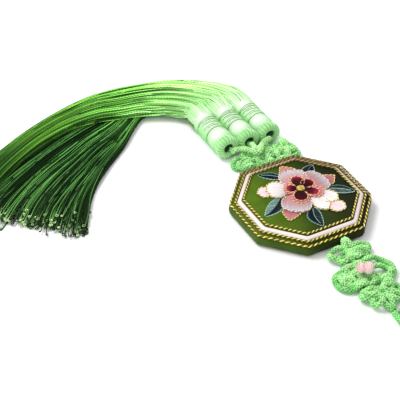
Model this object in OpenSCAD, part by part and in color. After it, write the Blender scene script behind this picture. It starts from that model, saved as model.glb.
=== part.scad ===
// Norigae: a hanging ornament for traditional dress, lying flat. An octagonal
// embroidered pendant hangs between knots of braided cord, above three tassels.
// The pendant's flat back is centred on the origin, +Z up. The hanging loop
// lies towards -Y and the tassels towards +Y.

/* [Pendant] */
// Width of the pendant across its flats
pendant_w = 60; // [54:1:68]
// Height of the pendant's side wall
wall_h = 5; // [4:0.25:7]
// Rise of the sloping border from the wall to the embroidered field
border_rise = 2.9; // [2:0.1:4]
// Radius of the pendant's rounded corners
corner_r = 2.5; // [1.5:0.25:4]
// Diameter of the gold cords
gold_d = 1.1; // [0.8:0.1:1.3]
// Distance between the outer and the middle gold cord
green_border_w = 2.1; // [1.8:0.1:3]
// Distance between the middle and the inner gold cord
satin_band_w = 3.4; // [2.8:0.1:4.5]
// Thickness of the satin band's cloth
satin_t = 0.4; // [0.3:0.05:0.6]

/* [Embroidery] */
// Radius of the embroidered flower, over its outer petals
flower_r = 17; // [14:0.5:17.5]
// Length of the leaves
leaf_l = 11; // [8:0.5:12]
// Thickness of one layer of embroidery
layer_t = 0.3; // [0.2:0.05:0.4]

/* [Knots] */
// Diameter of the braided cord
cord_d = 2.8; // [2.4:0.1:3.2]
// Thickness of a knot, where two cords cross
knot_t = 5.3; // [4.8:0.1:6.2]
// Reach of a clover knot's side ears from its middle
clover_side = 11.4; // [9.6:0.2:13]
// Reach of the near clover knot's ear towards the pendant
clover_end = 7.8; // [7.2:0.2:9]
// Reach of the far clover knot's ear towards the hanging loop
clover_tail = 11; // [9:0.2:12]
// Reach of a clover knot's small loop towards the wing knot
clover_link = 5.2; // [4.8:0.2:6]
// Reach of the wing knot's wings, sideways
wing_side = 15; // [13:0.2:17]
// Reach of the wing knot's wings along the cord
wing_end = 8.2; // [7.4:0.2:9]
// Reach of the lower knot's ears, sideways
lower_side = 17.6; // [15:0.2:19]
// Reach of the lower knot along the cord
lower_end = 7; // [6.4:0.2:8]
// Turn of the upper knots, in degrees
upper_turn = -2; // [-5:0.5:3]
// Turn of the lower knot, in degrees
lower_turn = -7; // [-8:0.5:0]
// Diameter of the pink wrap over the wing knot
wrap_d = 5.4; // [4.8:0.1:6.2]
// Length of the pink wrap
wrap_l = 8.8; // [8:0.2:10]

/* [Tassels] */
// Diameter of a tassel head
head_d = 11.2; // [9.5:0.1:12.5]
// Length of a tassel head
head_l = 31.5; // [27:0.5:37]
// Diameter of the hole in the end of a tassel head
hole_d = 3.9; // [3.6:0.1:3.9]
// Depth of that hole
hole_depth = 6; // [4:0.5:10]
// Space between the lower knot and the tassel heads
head_gap = 2; // [1.6:0.1:3.4]
// Reach of the tassel threads from the heads, towards the side
skirt_l = 150; // [130:1:165]

/* [Fit] */
// Clearance between neighbouring pieces
clearance = 0.2; // [0.1:0.05:0.3]

/* [Hidden] */
eps = 0.01;
cone_h = 0.1;
KNOT_SIDES = 6;
cord_r = cord_d / 2;
gold_r = gold_d / 2;
half_w = pendant_w / 2;

// The route of the hanging loop's cord, from the far clover knot's ear out,
// round and back again
LOOP_ROUTE = [
    [-1.5, 0, 1.5], [-1.8, -5, 1.5], [-3, -12, 1.5], [-5, -20, 1.5],
    [-7.4, -28, 1.5], [-8.8, -34.5, 1.5], [-9, -40, 1.5], [-7, -44.8, 1.5],
    [-2.4, -47, 1.5], [2.2, -45, 1.5], [4.2, -40, 1.5], [4, -34, 1.5],
    [2.8, -27, 1.5], [1.8, -19, 1.5], [1.5, -11, 1.5], [1.6, -5, 1.5], [1.6, 0, 1.5]
];

// The radii, over the flats, and the heights of the pendant's gold cords
outer_cord_r = half_w - gold_r;
middle_cord_r = outer_cord_r - green_border_w;
inner_cord_r = middle_cord_r - satin_band_w;
field_r = inner_cord_r - gold_r;
field_z = wall_h + border_rise;
slope = atan(border_rise / (half_w - field_r));
seat = gold_r / cos(slope) + clearance / 2;

// Height of the pendant's sloping border at a distance from its middle
function border_z(r) = wall_h + (half_w - r) * tan(slope);

// Thread locks, one row for each section across the whole bundle. Lengths are
// shares of skirt_l from the middle of the heads' ends: inner edge x and y,
// middle x and y, outer edge x and y. Heights are shares of head_d.
//  in_x,  in_y,  mid_x,  mid_y, out_x,  out_y, low_z, high_z
TOP_LAYER = [
    [-0.115,  0.025, -0.010,  0.030,  0.090,  0.040, 0.26, 0.88],
    [-0.130,  0.040, -0.035,  0.065,  0.060,  0.090, 0.26, 0.82],
    [-0.150,  0.060, -0.070,  0.100,  0.010,  0.140, 0.26, 0.77],
    [-0.185,  0.080, -0.125,  0.140, -0.065,  0.195, 0.26, 0.70],
    [-0.230,  0.100, -0.190,  0.165, -0.155,  0.225, 0.26, 0.65],
    [-0.290,  0.115, -0.265,  0.180, -0.240,  0.245, 0.26, 0.61],
    [-0.365,  0.135, -0.345,  0.195, -0.330,  0.250, 0.26, 0.59],
    [-0.465,  0.135, -0.445,  0.185, -0.425,  0.235, 0.26, 0.56],
    [-0.580,  0.100, -0.550,  0.155, -0.525,  0.205, 0.26, 0.54],
    [-0.685,  0.045, -0.655,  0.105, -0.625,  0.165, 0.26, 0.52],
    [-0.780, -0.020, -0.755,  0.045, -0.735,  0.110, 0.26, 0.49],
    [-0.855, -0.080, -0.850, -0.010, -0.845,  0.060, 0.26, 0.46],
    [-0.915, -0.125, -0.935, -0.055, -0.960,  0.010, 0.26, 0.38]
];
UNDER_LAYER = [
    [-0.085,  0.025, -0.005,  0.035,  0.075,  0.045, 0.00, 0.24],
    [-0.100,  0.050, -0.030,  0.075,  0.040,  0.095, 0.00, 0.24],
    [-0.130,  0.075, -0.070,  0.115, -0.015,  0.150, 0.00, 0.24],
    [-0.175,  0.100, -0.130,  0.150, -0.085,  0.195, 0.00, 0.24],
    [-0.235,  0.105, -0.200,  0.165, -0.165,  0.220, 0.00, 0.24],
    [-0.285,  0.060, -0.265,  0.145, -0.245,  0.235, 0.00, 0.24],
    [-0.345, -0.010, -0.340,  0.110, -0.330,  0.235, 0.00, 0.24],
    [-0.425, -0.075, -0.435,  0.075, -0.435,  0.215, 0.00, 0.24],
    [-0.495, -0.140, -0.525,  0.030, -0.540,  0.180, 0.00, 0.24],
    [-0.545, -0.200, -0.625, -0.020, -0.665,  0.130, 0.00, 0.23],
    [-0.590, -0.270, -0.735, -0.090, -0.795,  0.075, 0.00, 0.21],
    [-0.625, -0.340, -0.825, -0.170, -0.955,  0.005, 0.00, 0.17]
];
TASSELS = 3;
TOP_LOCKS = 2;
UNDER_LOCKS = 4;
lane_gap = clearance / 2;

// Petals of the flower by their turn, in degrees. Lengths are shares of
// flower_r: the middle's distance, the length and the width.
//  turn, distance, length, width
PETALS = [
    [  13, 0.62, 0.62, 0.62],
    [  79, 0.60, 0.62, 0.62],
    [ 141, 0.62, 0.62, 0.60],
    [ 219, 0.60, 0.64, 0.64],
    [ 298, 0.62, 0.62, 0.60]
];
TIPS = [
    [  10, 0.92, 0.36, 0.38],
    [  84, 0.95, 0.36, 0.38],
    [ 152, 0.96, 0.42, 0.40],
    [ 225, 0.96, 0.40, 0.38],
    [ 299, 1.00, 0.40, 0.40]
];
HEARTS = [
    [   8, 0.31, 0.30, 0.26],
    [  80, 0.33, 0.30, 0.27],
    [ 150, 0.28, 0.26, 0.24],
    [ 240, 0.31, 0.34, 0.29],
    [ 305, 0.32, 0.32, 0.28]
];
// Leaves by the turn of their middle, its distance as a share of flower_r,
// and the turn of the leaf itself
LEAVES = [
    [  43, 0.88,  43],
    [ 124, 0.98, 126],
    [ 196, 1.04, 211],
    [ 263, 1.10, 259],
    [ 327, 1.08, 325]
];
WHITE = [false, false, true, false, true];
flower_x = 1.2;
flower_y = 1.6;
eye_r = 0.125 * flower_r;

// Outline of the pink wrap: places along it and radii, as shares of its own
WRAP_OUTLINE = [
    [-0.50, 0.42], [-0.47, 0.66], [-0.39, 0.86], [-0.27, 0.94], [-0.14, 0.87], [-0.06, 0.76],
    [0.02, 0.87], [0.12, 0.97], [0.24, 1.00], [0.37, 0.91], [0.46, 0.70], [0.50, 0.44]
];

// Places that follow from the sizes
clover_near_y = -half_w - clover_end - clearance;
wing_y = clover_near_y - clover_link - wing_end - 1.2;
clover_far_y = wing_y - wing_end - clover_link - clearance;
loop_y = clover_far_y - clover_tail - clearance;
lower_reach = lower_end + abs(sin(lower_turn)) * lower_side * 0.55;
lower_y = half_w + lower_reach + clearance;
head_y = lower_y + lower_reach + head_gap;
skirt_y = head_y + head_l;

// Sideways places of the upper knots, the lower knot and the tassels
clover_near_x = 1.5;
wing_x = -0.7;
clover_far_x = -0.9;
lower_x = 4.4;
tassel_x = 2;

function unit(v) = v / norm(v);
function mix(a, b, k) = a + (b - a) * k;
function clamp(v) = max(-1, min(1, v));

// A point across a section row, from its inner edge at 0 through its middle
// at 0.5 to its outer edge at 1
function across(row, k) =
    let (a = [row[0], row[1]], m = [row[2], row[3]], b = [row[4], row[5]])
    a * (1 - k) * (1 - 2 * k) + m * 4 * k * (1 - k) + b * k * (2 * k - 1);

// Points of an octagon with rounded corners, at distance r over the flats
function octagon(r, z, bend) = [
    for (corner = [0:7], step = [-1:1])
        let (turn = 22.5 + 45 * corner, far = (r - bend) / cos(22.5))
        [far * cos(turn) + bend * cos(turn + step * 22.5),
         far * sin(turn) + bend * sin(turn + step * 22.5), z]
];

// A solid through closed rings of equally many points, with flat ends
module loft(rings) {
    n = len(rings[0]);
    rows = len(rings);
    polyhedron(
        points = [for (ring = rings, p = ring) p],
        faces = concat(
            [[for (i = [0:n - 1]) i]],
            [for (j = [0:rows - 2], i = [0:n - 1])
                [j * n + i, (j + 1) * n + i, (j + 1) * n + (i + 1) % n, j * n + (i + 1) % n]],
            [[for (i = [n - 1:-1:0]) (rows - 1) * n + i]]
        )
    );
}

// A closed band through rings, whose last ring joins the first
module closed_loft(rings) {
    n = len(rings[0]);
    rows = len(rings);
    polyhedron(
        points = [for (ring = rings, p = ring) p],
        faces = [for (j = [0:rows - 1], i = [0:n - 1])
            let (k = (j + 1) % rows)
            [j * n + i, k * n + i, k * n + (i + 1) % n, j * n + (i + 1) % n]]
    );
}

// Rings of a round cord along a path
function cord_rings(path, d, sides, closed = false) =
    let (n = len(path))
    [for (i = [0:n - 1])
        let (
            before = closed ? path[(i + n - 1) % n] : path[max(i - 1, 0)],
            after = closed ? path[(i + 1) % n] : path[min(i + 1, n - 1)],
            run = unit(after - before),
            side = unit(cross(run, [0, 0, 1])),
            rise = cross(side, run)
        )
        [for (s = [0:sides - 1])
            let (turn = 360 * (s + 0.5) / sides)
            path[i] + d / 2 * (cos(turn) * side + sin(turn) * rise)]];

// The middle of a ring of points
function middle_of(ring) = [for (p = ring) 1] * ring / len(ring);

// The same solid as straight links, for strands that cross each other. Each
// link's ends are low cones, so that it overlaps the next link.
module links(rings, closed = false) {
    n = len(rings);
    sides = len(rings[0]);
    for (i = [0:n - (closed ? 1 : 2)]) {
        first = rings[i];
        second = rings[(i + 1) % n];
        run = unit(middle_of(second) - middle_of(first)) * cone_h;
        hull()
            polyhedron(
                points = concat(first, second, [middle_of(first) - run, middle_of(second) + run]),
                faces = [[for (k = [0:sides - 1]) k], [for (k = [0:sides - 1]) sides + k],
                         [0, 2 * sides, 2 * sides + 1]]
            );
    }
}

// A strand that runs through ears all round a middle, and passes over and
// under itself near it. The ears reach side to the sides, up towards +Y and
// down towards -Y; rise lifts the ear towards +Y.
function rosette(ears, side, up, down, bend, rise, steps) =
    let (
        pass = cord_d * 0.54,
        round_part = bend * side,
        turn_part = (side + pass) / 2,
        ear_part = (side - pass) / 2 + round_part,
        lift = (knot_t - cord_d) / 2
    )
    [for (i = [0:steps - 1])
        let (
            t = 360 * i / steps,
            x = turn_part * cos(t) + ear_part * cos((ears - 1) * t)
                - round_part * cos((ears + 1) * t),
            y = turn_part * sin(t) - ear_part * sin((ears - 1) * t)
                - round_part * sin((ears + 1) * t),
            turn = atan2(y, x),
            less = 1 - (y > 0 ? up : down) / side
        )
        [x * (1 - less * pow(sin(turn), 8)), y * (1 - less * (1 - pow(cos(turn), 4))),
         knot_t / 2 + lift * clamp(sin(ears * t) / 0.3) + rise * pow(max(y, 0) / side, 2)]];

module pendant_body() {
    color("olivedrab")
    loft([
        octagon(half_w - 0.8, 0, corner_r),
        octagon(half_w, 0.8, corner_r),
        octagon(half_w, wall_h, corner_r),
        octagon(field_r, field_z, corner_r)
    ]);
}

// A ring of cloth that lies on the sloping border
module satin_band() {
    low_r = middle_cord_r - gold_r - clearance;
    high_r = inner_cord_r + gold_r + clearance;
    lift = clearance / 2;
    bottom_low = octagon(low_r, border_z(low_r) + lift, corner_r);
    top_low = octagon(low_r, border_z(low_r) + lift + satin_t, corner_r);
    top_high = octagon(high_r, border_z(high_r) + lift + satin_t, corner_r);
    bottom_high = octagon(high_r, border_z(high_r) + lift, corner_r);
    color("mistyrose")
    closed_loft([for (i = [0:23]) [bottom_low[i], top_low[i], top_high[i], bottom_high[i]]]);
}

module gold_cord(r) {
    path = octagon(r, border_z(r) + seat, corner_r);
    color("goldenrod")
    closed_loft(cord_rings(path, gold_d, 6, closed = true));
}

// The height of a layer of embroidery above the field
function layer_z(layer) = field_z + clearance / 4 + layer * (layer_t + clearance / 4);

// Two circles that widen from the flower's middle outwards
module petal_shape(length, width) {
    translate([-length * 0.22, 0]) circle(r = length * 0.28, $fn = 48);
    for (side = [-1, 1])
        translate([length * 0.06, side * width * 0.2]) circle(r = width * 0.3, $fn = 48);
}

module petal(row, layer, tint) {
    color(tint)
    translate([flower_x, flower_y, layer_z(layer)])
        rotate(row[0])
            translate([row[1] * flower_r, 0])
                linear_extrude(layer_t)
                    petal_shape(row[2] * flower_r, row[3] * flower_r);
}

// A leaf is the part that two circles share
module leaf(row) {
    width = leaf_l * 0.5;
    bow = (leaf_l * leaf_l / 4 + width * width / 4) / width;
    color("darkslategray")
    translate([flower_x, flower_y, layer_z(0)])
        rotate(row[0])
            translate([row[1] * flower_r, 0])
                rotate(row[2] - row[0])
                    linear_extrude(layer_t)
                        intersection() {
                            translate([0, bow - width / 2]) circle(r = bow, $fn = 96);
                            translate([0, width / 2 - bow]) circle(r = bow, $fn = 96);
                        }
}

module flower_eye() {
    color("gold")
    translate([flower_x, flower_y, layer_z(5)])
        cylinder(r = eye_r, h = layer_t * 2, $fn = 48);
}

module closed_cord(path) {
    links(cord_rings(path, cord_d, KNOT_SIDES, closed = true), closed = true);
}

module clover_knot(x, y, up, down, rise) {
    path = rosette(4, clover_side - cord_r, up - cord_r, down - cord_r, 0.12, rise, 44);
    color("palegreen")
    translate([x, y, 0])
        rotate(upper_turn)
            closed_cord(path);
}

// Two rings of cord on each side, the outer ones looped through each other,
// one strand across them all, and one along the knots' axis
module wing_knot() {
    outer_a = (wing_side + cord_r) / 2;
    outer_b = wing_end - cord_r;
    inner_a = outer_a - cord_d * 1.1;
    inner_b = outer_b - cord_d * 1.05;
    low = cord_r;
    high = knot_t - cord_r;
    color("palegreen")
    translate([wing_x, wing_y, 0])
        rotate(upper_turn) {
            for (side = [-1, 1]) {
                closed_cord([for (i = [0:23])
                    let (t = 15 * i)
                    [side * (wing_side - cord_r - outer_a + outer_a * cos(t)),
                     outer_b * sin(t),
                     mix(low, high, 0.5 - 0.5 * side * clamp(sin(t) * 2) * clamp(-cos(t) * 2))]]);
                closed_cord([for (i = [0:17])
                    let (t = 20 * i)
                    [side * (wing_side - cord_r * 3.1 - inner_a + inner_a * cos(t)),
                     inner_b * sin(t),
                     mix(low, high, 0.6 - 0.3 * cos(t))]]);
            }
            links(cord_rings([for (i = [-2:2]) [i * wing_side * 0.27, 0, mix(high, low, abs(i) * 0.4)]],
                             cord_d, KNOT_SIDES));
            links(cord_rings([
                [clover_near_x - wing_x, wing_end + 0.9, knot_t / 2],
                [0, wing_end * 0.3, low],
                [0, -wing_end, low]
            ], cord_d, KNOT_SIDES));
        }
}

// Two turns of soft thread side by side, with a flat underside
module pink_wrap() {
    flat = 0.32 * wrap_d;
    color("pink")
    translate([wing_x, wing_y, knot_t + clearance + flat])
        rotate(-28)
            loft([for (row = WRAP_OUTLINE)
                [for (i = [0:13])
                    let (turn = 360 / 14 * i, r = row[1] * wrap_d / 2)
                    [row[0] * wrap_l, -r * cos(turn), max(r * sin(turn), -flat)]]]);
}

module hanging_loop() {
    color("palegreen")
    translate([clover_far_x, loop_y, 0])
        loft(cord_rings(LOOP_ROUTE, cord_d, 8));
}

module lower_knot() {
    path = rosette(6, lower_side - cord_r, lower_end - cord_r, lower_end - cord_r, 0.06, 0, 66);
    color("palegreen")
    translate([lower_x, lower_y, 0])
        rotate(lower_turn) {
            closed_cord(path);
            translate([0, 0, knot_t * 0.2])
                scale([lower_side * 0.6, lower_end * 0.6, 1])
                    cylinder(r = 1, h = knot_t * 0.6, $fn = 32);
        }
}

// A small ring of cord on the lower knot, with three short cords that run
// from it into the heads
module tassel_cords() {
    ring_r = cord_d * 0.64;
    ring_x = lower_x - 3.5;
    ring_y = lower_y + lower_end * 0.26;
    ring_z = knot_t + clearance + cord_r;
    color("palegreen") {
        closed_cord([for (i = [0:11]) [ring_x + ring_r * cos(30 * i), ring_y + ring_r * sin(30 * i), ring_z]]);
        for (i = [-1:1]) {
            head_x = tassel_x + i * head_d;
            start = [ring_x + i * ring_r, ring_y + ring_r * (1 - abs(i)), ring_z];
            links(cord_rings([
                start,
                [mix(start[0], head_x, 0.35), mix(start[1], head_y, 0.45), ring_z],
                [mix(start[0], head_x, 0.8), head_y - cord_r * 1.9, mix(ring_z, head_d / 2, 0.5)],
                [head_x, head_y - cord_r * 0.5, head_d / 2],
                [head_x, head_y + hole_depth - clearance, head_d / 2]
            ], cord_d, KNOT_SIDES));
        }
    }
}

// Outline of a tassel head, from its ringed end to its threads, as radii
// and lengths that are shares of the head's own
HEAD_OUTLINE = [
    [0.78, 0.000], [0.94, 0.020], [1.000, 0.060], [0.95, 0.115], [0.91, 0.135],
    [0.98, 0.190], [1.000, 0.270], [0.97, 0.370], [0.93, 0.395], [0.97, 0.420],
    [0.97, 0.670], [0.93, 0.695], [0.97, 0.720], [0.94, 0.980], [0.86, 1.000]
];

// A ring of eight points round a flat bar of threads, which reaches to both
// sides of its middle
function bar(middle, reach, low, high) = [
    for (c = [[1, 0.45], [1, -0.45], [0.6, -1], [-0.6, -1], [-1, -0.45], [-1, 0.45], [-0.6, 1], [0.6, 1]])
        let (p = middle + reach * c[0])
        [p[0], p[1], mix(low, high, 0.5 + 0.5 * c[1])]
];

// One lock of threads across a share of a layer, from inside its head to
// its tufts, which are of unequal length
module lock(table, from, to, tassel, low, high, tufts) {
    head_x = tassel_x + (tassel - (TASSELS + 1) / 2) * head_d;
    share = (from + to) / 2 * TASSELS - (tassel - 1);
    root = bar([head_x + (share - 0.5) * head_d * 0.45, skirt_y - head_l * (0.12 + share * 0.03)],
               [head_d * 0.15, 0], low * head_d, high * head_d);
    origin = [tassel_x, skirt_y];
    starts = [for (row = table) origin + across(row, from) * skirt_l];
    ends = [for (row = table) origin + across(row, to) * skirt_l];
    middles = (starts + ends) / 2;
    reaches = [for (i = [0:len(table) - 1])
        let (half = (ends[i] - starts[i]) / 2)
        half * (1 - lane_gap / norm(half))];
    loft(concat([root], [for (i = [0:len(table) - 1])
        bar(middles[i], reaches[i], table[i][6] * head_d, table[i][7] * head_d)]));
    last = len(table) - 1;
    run = unit(middles[last] - middles[last - 1]);
    for (side = tufts)
        links([for (k = [-1, 1])
            bar(middles[last] + reaches[last] * side * 0.48 + run * (k + (k > 0 ? share - side * 0.3 : 0)),
                reaches[last] * 0.42,
                mix(table[last][6], table[last][7], 0.15 - 0.05 * k) * head_d,
                mix(table[last][6], table[last][7], 0.75 - 0.1 * k) * head_d)]);
}

module tassel(tassel) {
    head_x = tassel_x + (tassel - (TASSELS + 1) / 2) * head_d;
    color("mediumseagreen") {
        translate([head_x, head_y, head_d / 2])
            rotate([-90, 0, 0])
                difference() {
                    rotate_extrude($fn = 20)
                        polygon(concat(
                            [[0, 0]],
                            [for (p = HEAD_OUTLINE) [p[0] * (head_d - clearance) / 2, p[1] * head_l]],
                            [[0, head_l]]
                        ));
                    translate([0, 0, -eps]) cylinder(d = hole_d, h = hole_depth + eps, $fn = 16);
                }
        for (i = [0:TOP_LOCKS - 1])
            lock(TOP_LAYER, (tassel - 1 + i / TOP_LOCKS) / TASSELS,
                 (tassel - 1 + (i + 1) / TOP_LOCKS) / TASSELS, tassel, 0.50, 0.76, []);
        for (i = [0:UNDER_LOCKS - 1])
            lock(UNDER_LAYER, (tassel - 1 + i / UNDER_LOCKS) / TASSELS,
                 (tassel - 1 + (i + 1) / UNDER_LOCKS) / TASSELS, tassel, 0.24, 0.44, [-1, 1]);
    }
}

pendant_body();
satin_band();
gold_cord(outer_cord_r);  // gold_cord_outer
gold_cord(middle_cord_r);  // gold_cord_middle
gold_cord(inner_cord_r);  // gold_cord_inner
for (i = [1:5]) {
    leaf(LEAVES[i - 1]);
    petal(TIPS[i - 1], 1, WHITE[i - 1] ? "mistyrose" : "palevioletred");
    petal(PETALS[i - 1], WHITE[i - 1] ? 2 : 3, WHITE[i - 1] ? "white" : "thistle");
    petal(HEARTS[i - 1], 4, "mediumvioletred");
}
flower_eye();
clover_knot(clover_near_x, clover_near_y, clover_end, clover_link, cord_r);  // clover_knot_near
wing_knot();
pink_wrap();
clover_knot(clover_far_x, clover_far_y, clover_link, clover_tail, 0);  // clover_knot_far
hanging_loop();
lower_knot();
tassel_cords();
for (i = [1:TASSELS])
    tassel(i);
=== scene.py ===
"""A norigae that lies on a pale floor: the looks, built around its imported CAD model."""

import math

import bmesh
import bpy
import numpy as np
from mathutils import Matrix, Vector, noise


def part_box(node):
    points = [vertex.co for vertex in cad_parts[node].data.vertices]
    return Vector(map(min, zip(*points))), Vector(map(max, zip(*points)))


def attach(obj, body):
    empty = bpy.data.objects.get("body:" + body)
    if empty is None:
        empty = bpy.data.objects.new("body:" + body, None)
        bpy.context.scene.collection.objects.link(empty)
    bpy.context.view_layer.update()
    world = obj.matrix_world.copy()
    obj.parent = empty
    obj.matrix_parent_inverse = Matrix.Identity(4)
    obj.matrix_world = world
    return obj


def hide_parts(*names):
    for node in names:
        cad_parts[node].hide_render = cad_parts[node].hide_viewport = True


bl_info = {
    "name": "Norigae",
    "version": (1, 0, 0),
    "blender": (4, 5, 0),
    "location": "View3D > Sidebar > Norigae",
    "description": "Dresses a hanging ornament in silk, plaited cord, embroidery and thread",
    "category": "Object",
}

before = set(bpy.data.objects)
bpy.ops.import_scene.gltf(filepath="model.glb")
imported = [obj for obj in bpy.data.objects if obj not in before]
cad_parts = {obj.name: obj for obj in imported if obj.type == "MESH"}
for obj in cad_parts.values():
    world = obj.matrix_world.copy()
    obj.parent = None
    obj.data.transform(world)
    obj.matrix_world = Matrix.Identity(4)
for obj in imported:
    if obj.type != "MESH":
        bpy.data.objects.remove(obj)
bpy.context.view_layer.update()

MM = 0.001
BODY = "root"


def cad(node, corner, axis):
    """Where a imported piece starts, at corner 0, or ends, at corner 1, along an
    axis, in millimetres."""
    return round(float(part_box(node)[corner][axis]) / MM, 2)


# The pendant, with all lengths in millimetres, as in the part's source
PENDANT_HALF = cad("pendant_body", 1, 0)
FIELD_Z = cad("pendant_body", 1, 2)
WALL_TOP = 5.0
SIDE_TURN = math.pi / 4
CORNER_BEND = 2.5
END_STRETCH = 0.065
GOLD_D = 1.1
OUTER_GOLD = PENDANT_HALF - GOLD_D / 2
MIDDLE_GOLD = OUTER_GOLD - 2.1
INNER_GOLD = MIDDLE_GOLD - 3.4
FIELD_R = INNER_GOLD - GOLD_D / 2
SLOPE = (FIELD_Z - WALL_TOP) / (PENDANT_HALF - FIELD_R)

# The plaited cord, its knots and what lies on them
CORD_D = 2.8
PLAIT_PITCH = 6.0
PLAIT_STEP = 0.3
PLAIT_REACH, PLAIT_SWING = 0.585, 0.155
STRAND_SHARE, CORE_SHARE = 0.13, 0.33
# Heights between which the cord's painted shade, low down, gives way to its lit colour
CORD_SHADED, CORD_LIT = 1.8, 5.1
KNOT_T = cad("wing_knot", 1, 2)
WEAVE_X, WEAVE_Y, WEAVE_SHIFT = 5.4, 5.6, 0.25
LOOP_POWER, LOOP_STEP = 0.8, 0.6
UPPER_TURN = math.radians(-2)
LOWER_TURN = math.radians(-7)
CLOVER_NEAR = (1.5, -38.0)
WING = (-0.7, -52.6)
CLOVER_FAR = (-0.9, -66.2)
LOWER = (4.4, 38.38)
LOOP_START = (-0.9, -77.4)
SEAT_GAP = 0.2
FLOOR_GAP = 0.02

# The tassels, whose heads lie side by side, a diameter apart
HEAD_D = round(cad("tassel_3", 1, 0) - cad("tassel_2", 1, 0), 2)
HEAD_L = 31.5
HEAD_Y = cad("tassel_3", 0, 1)
SKIRT_Y = HEAD_Y + HEAD_L
SKIRT_L = 150.0
TASSEL_X = 2.0

# The hanging loop's route, from the far clover knot's ear out and back
LOOP_ROUTE = [
    (-1.5, 0, 1.5), (-1.8, -5, 1.5), (-3, -12, 1.5), (-5, -20, 1.5),
    (-7.4, -28, 1.5), (-8.8, -34.5, 1.5), (-9, -40, 1.5), (-7, -44.8, 1.5),
    (-2.4, -47, 1.5), (2.2, -45, 1.5), (4.2, -40, 1.5), (4, -34, 1.5),
    (2.8, -27, 1.5), (1.8, -19, 1.5), (1.5, -11, 1.5), (1.6, -5, 1.5), (1.6, 0, 1.5),
]

# Sections across the two layers of threads, as shares of SKIRT_L from the
# middle of the heads' ends, and their heights as shares of HEAD_D:
# inner x, y, middle x, y, outer x, y, low, high
TOP_LAYER = [
    (-0.115, 0.025, -0.010, 0.030, 0.090, 0.040, 0.26, 0.88),
    (-0.130, 0.040, -0.035, 0.065, 0.060, 0.090, 0.26, 0.82),
    (-0.150, 0.060, -0.070, 0.100, 0.010, 0.140, 0.26, 0.77),
    (-0.185, 0.080, -0.125, 0.140, -0.065, 0.195, 0.26, 0.70),
    (-0.230, 0.100, -0.190, 0.165, -0.155, 0.225, 0.26, 0.65),
    (-0.290, 0.115, -0.265, 0.180, -0.240, 0.245, 0.26, 0.61),
    (-0.365, 0.135, -0.345, 0.195, -0.330, 0.250, 0.26, 0.59),
    (-0.465, 0.135, -0.445, 0.185, -0.425, 0.235, 0.26, 0.56),
    (-0.580, 0.100, -0.550, 0.155, -0.525, 0.205, 0.26, 0.54),
    (-0.685, 0.045, -0.655, 0.105, -0.625, 0.165, 0.26, 0.52),
    (-0.780, -0.020, -0.755, 0.045, -0.735, 0.110, 0.26, 0.49),
    (-0.855, -0.080, -0.850, -0.010, -0.845, 0.060, 0.26, 0.46),
    (-0.915, -0.125, -0.935, -0.055, -0.960, 0.010, 0.20, 0.38),
]
UNDER_LAYER = [
    (-0.085, 0.025, -0.005, 0.035, 0.075, 0.045, 0.04, 0.26),
    (-0.100, 0.050, -0.030, 0.075, 0.040, 0.095, 0.04, 0.26),
    (-0.130, 0.075, -0.070, 0.115, -0.015, 0.150, 0.04, 0.26),
    (-0.175, 0.100, -0.130, 0.150, -0.085, 0.195, 0.04, 0.26),
    (-0.215, 0.105, -0.190, 0.165, -0.165, 0.220, 0.04, 0.26),
    (-0.272, 0.060, -0.260, 0.145, -0.245, 0.235, 0.04, 0.26),
    (-0.342, -0.010, -0.338, 0.110, -0.330, 0.235, 0.04, 0.26),
    (-0.425, -0.075, -0.435, 0.075, -0.435, 0.215, 0.04, 0.26),
    (-0.495, -0.140, -0.525, 0.030, -0.540, 0.180, 0.04, 0.25),
    (-0.545, -0.200, -0.625, -0.020, -0.665, 0.130, 0.04, 0.24),
    (-0.590, -0.270, -0.735, -0.090, -0.795, 0.075, 0.04, 0.22),
    (-0.625, -0.340, -0.825, -0.170, -0.955, 0.005, 0.03, 0.18),
]

# A tassel head from its ringed end to its threads: radius as a share of its
# own, place along it as a share of its length
HEAD_PROFILE = [
    (0.46, 0.190), (0.465, 0.030), (0.52, 0.006), (0.64, -0.004), (0.80, 0.002), (0.93, 0.020),
    (0.985, 0.050), (0.970, 0.085), (0.915, 0.112), (0.900, 0.130), (0.93, 0.155),
    (0.975, 0.200), (0.99, 0.260), (0.98, 0.320), (0.955, 0.365), (0.925, 0.385),
    (0.93, 0.400), (0.960, 0.420), (0.965, 0.64), (0.930, 0.665), (0.955, 0.690),
    (0.965, 0.735), (0.95, 0.775), (0.90, 0.815), (0.75, 0.845), (0.0, 0.850),
]

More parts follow.
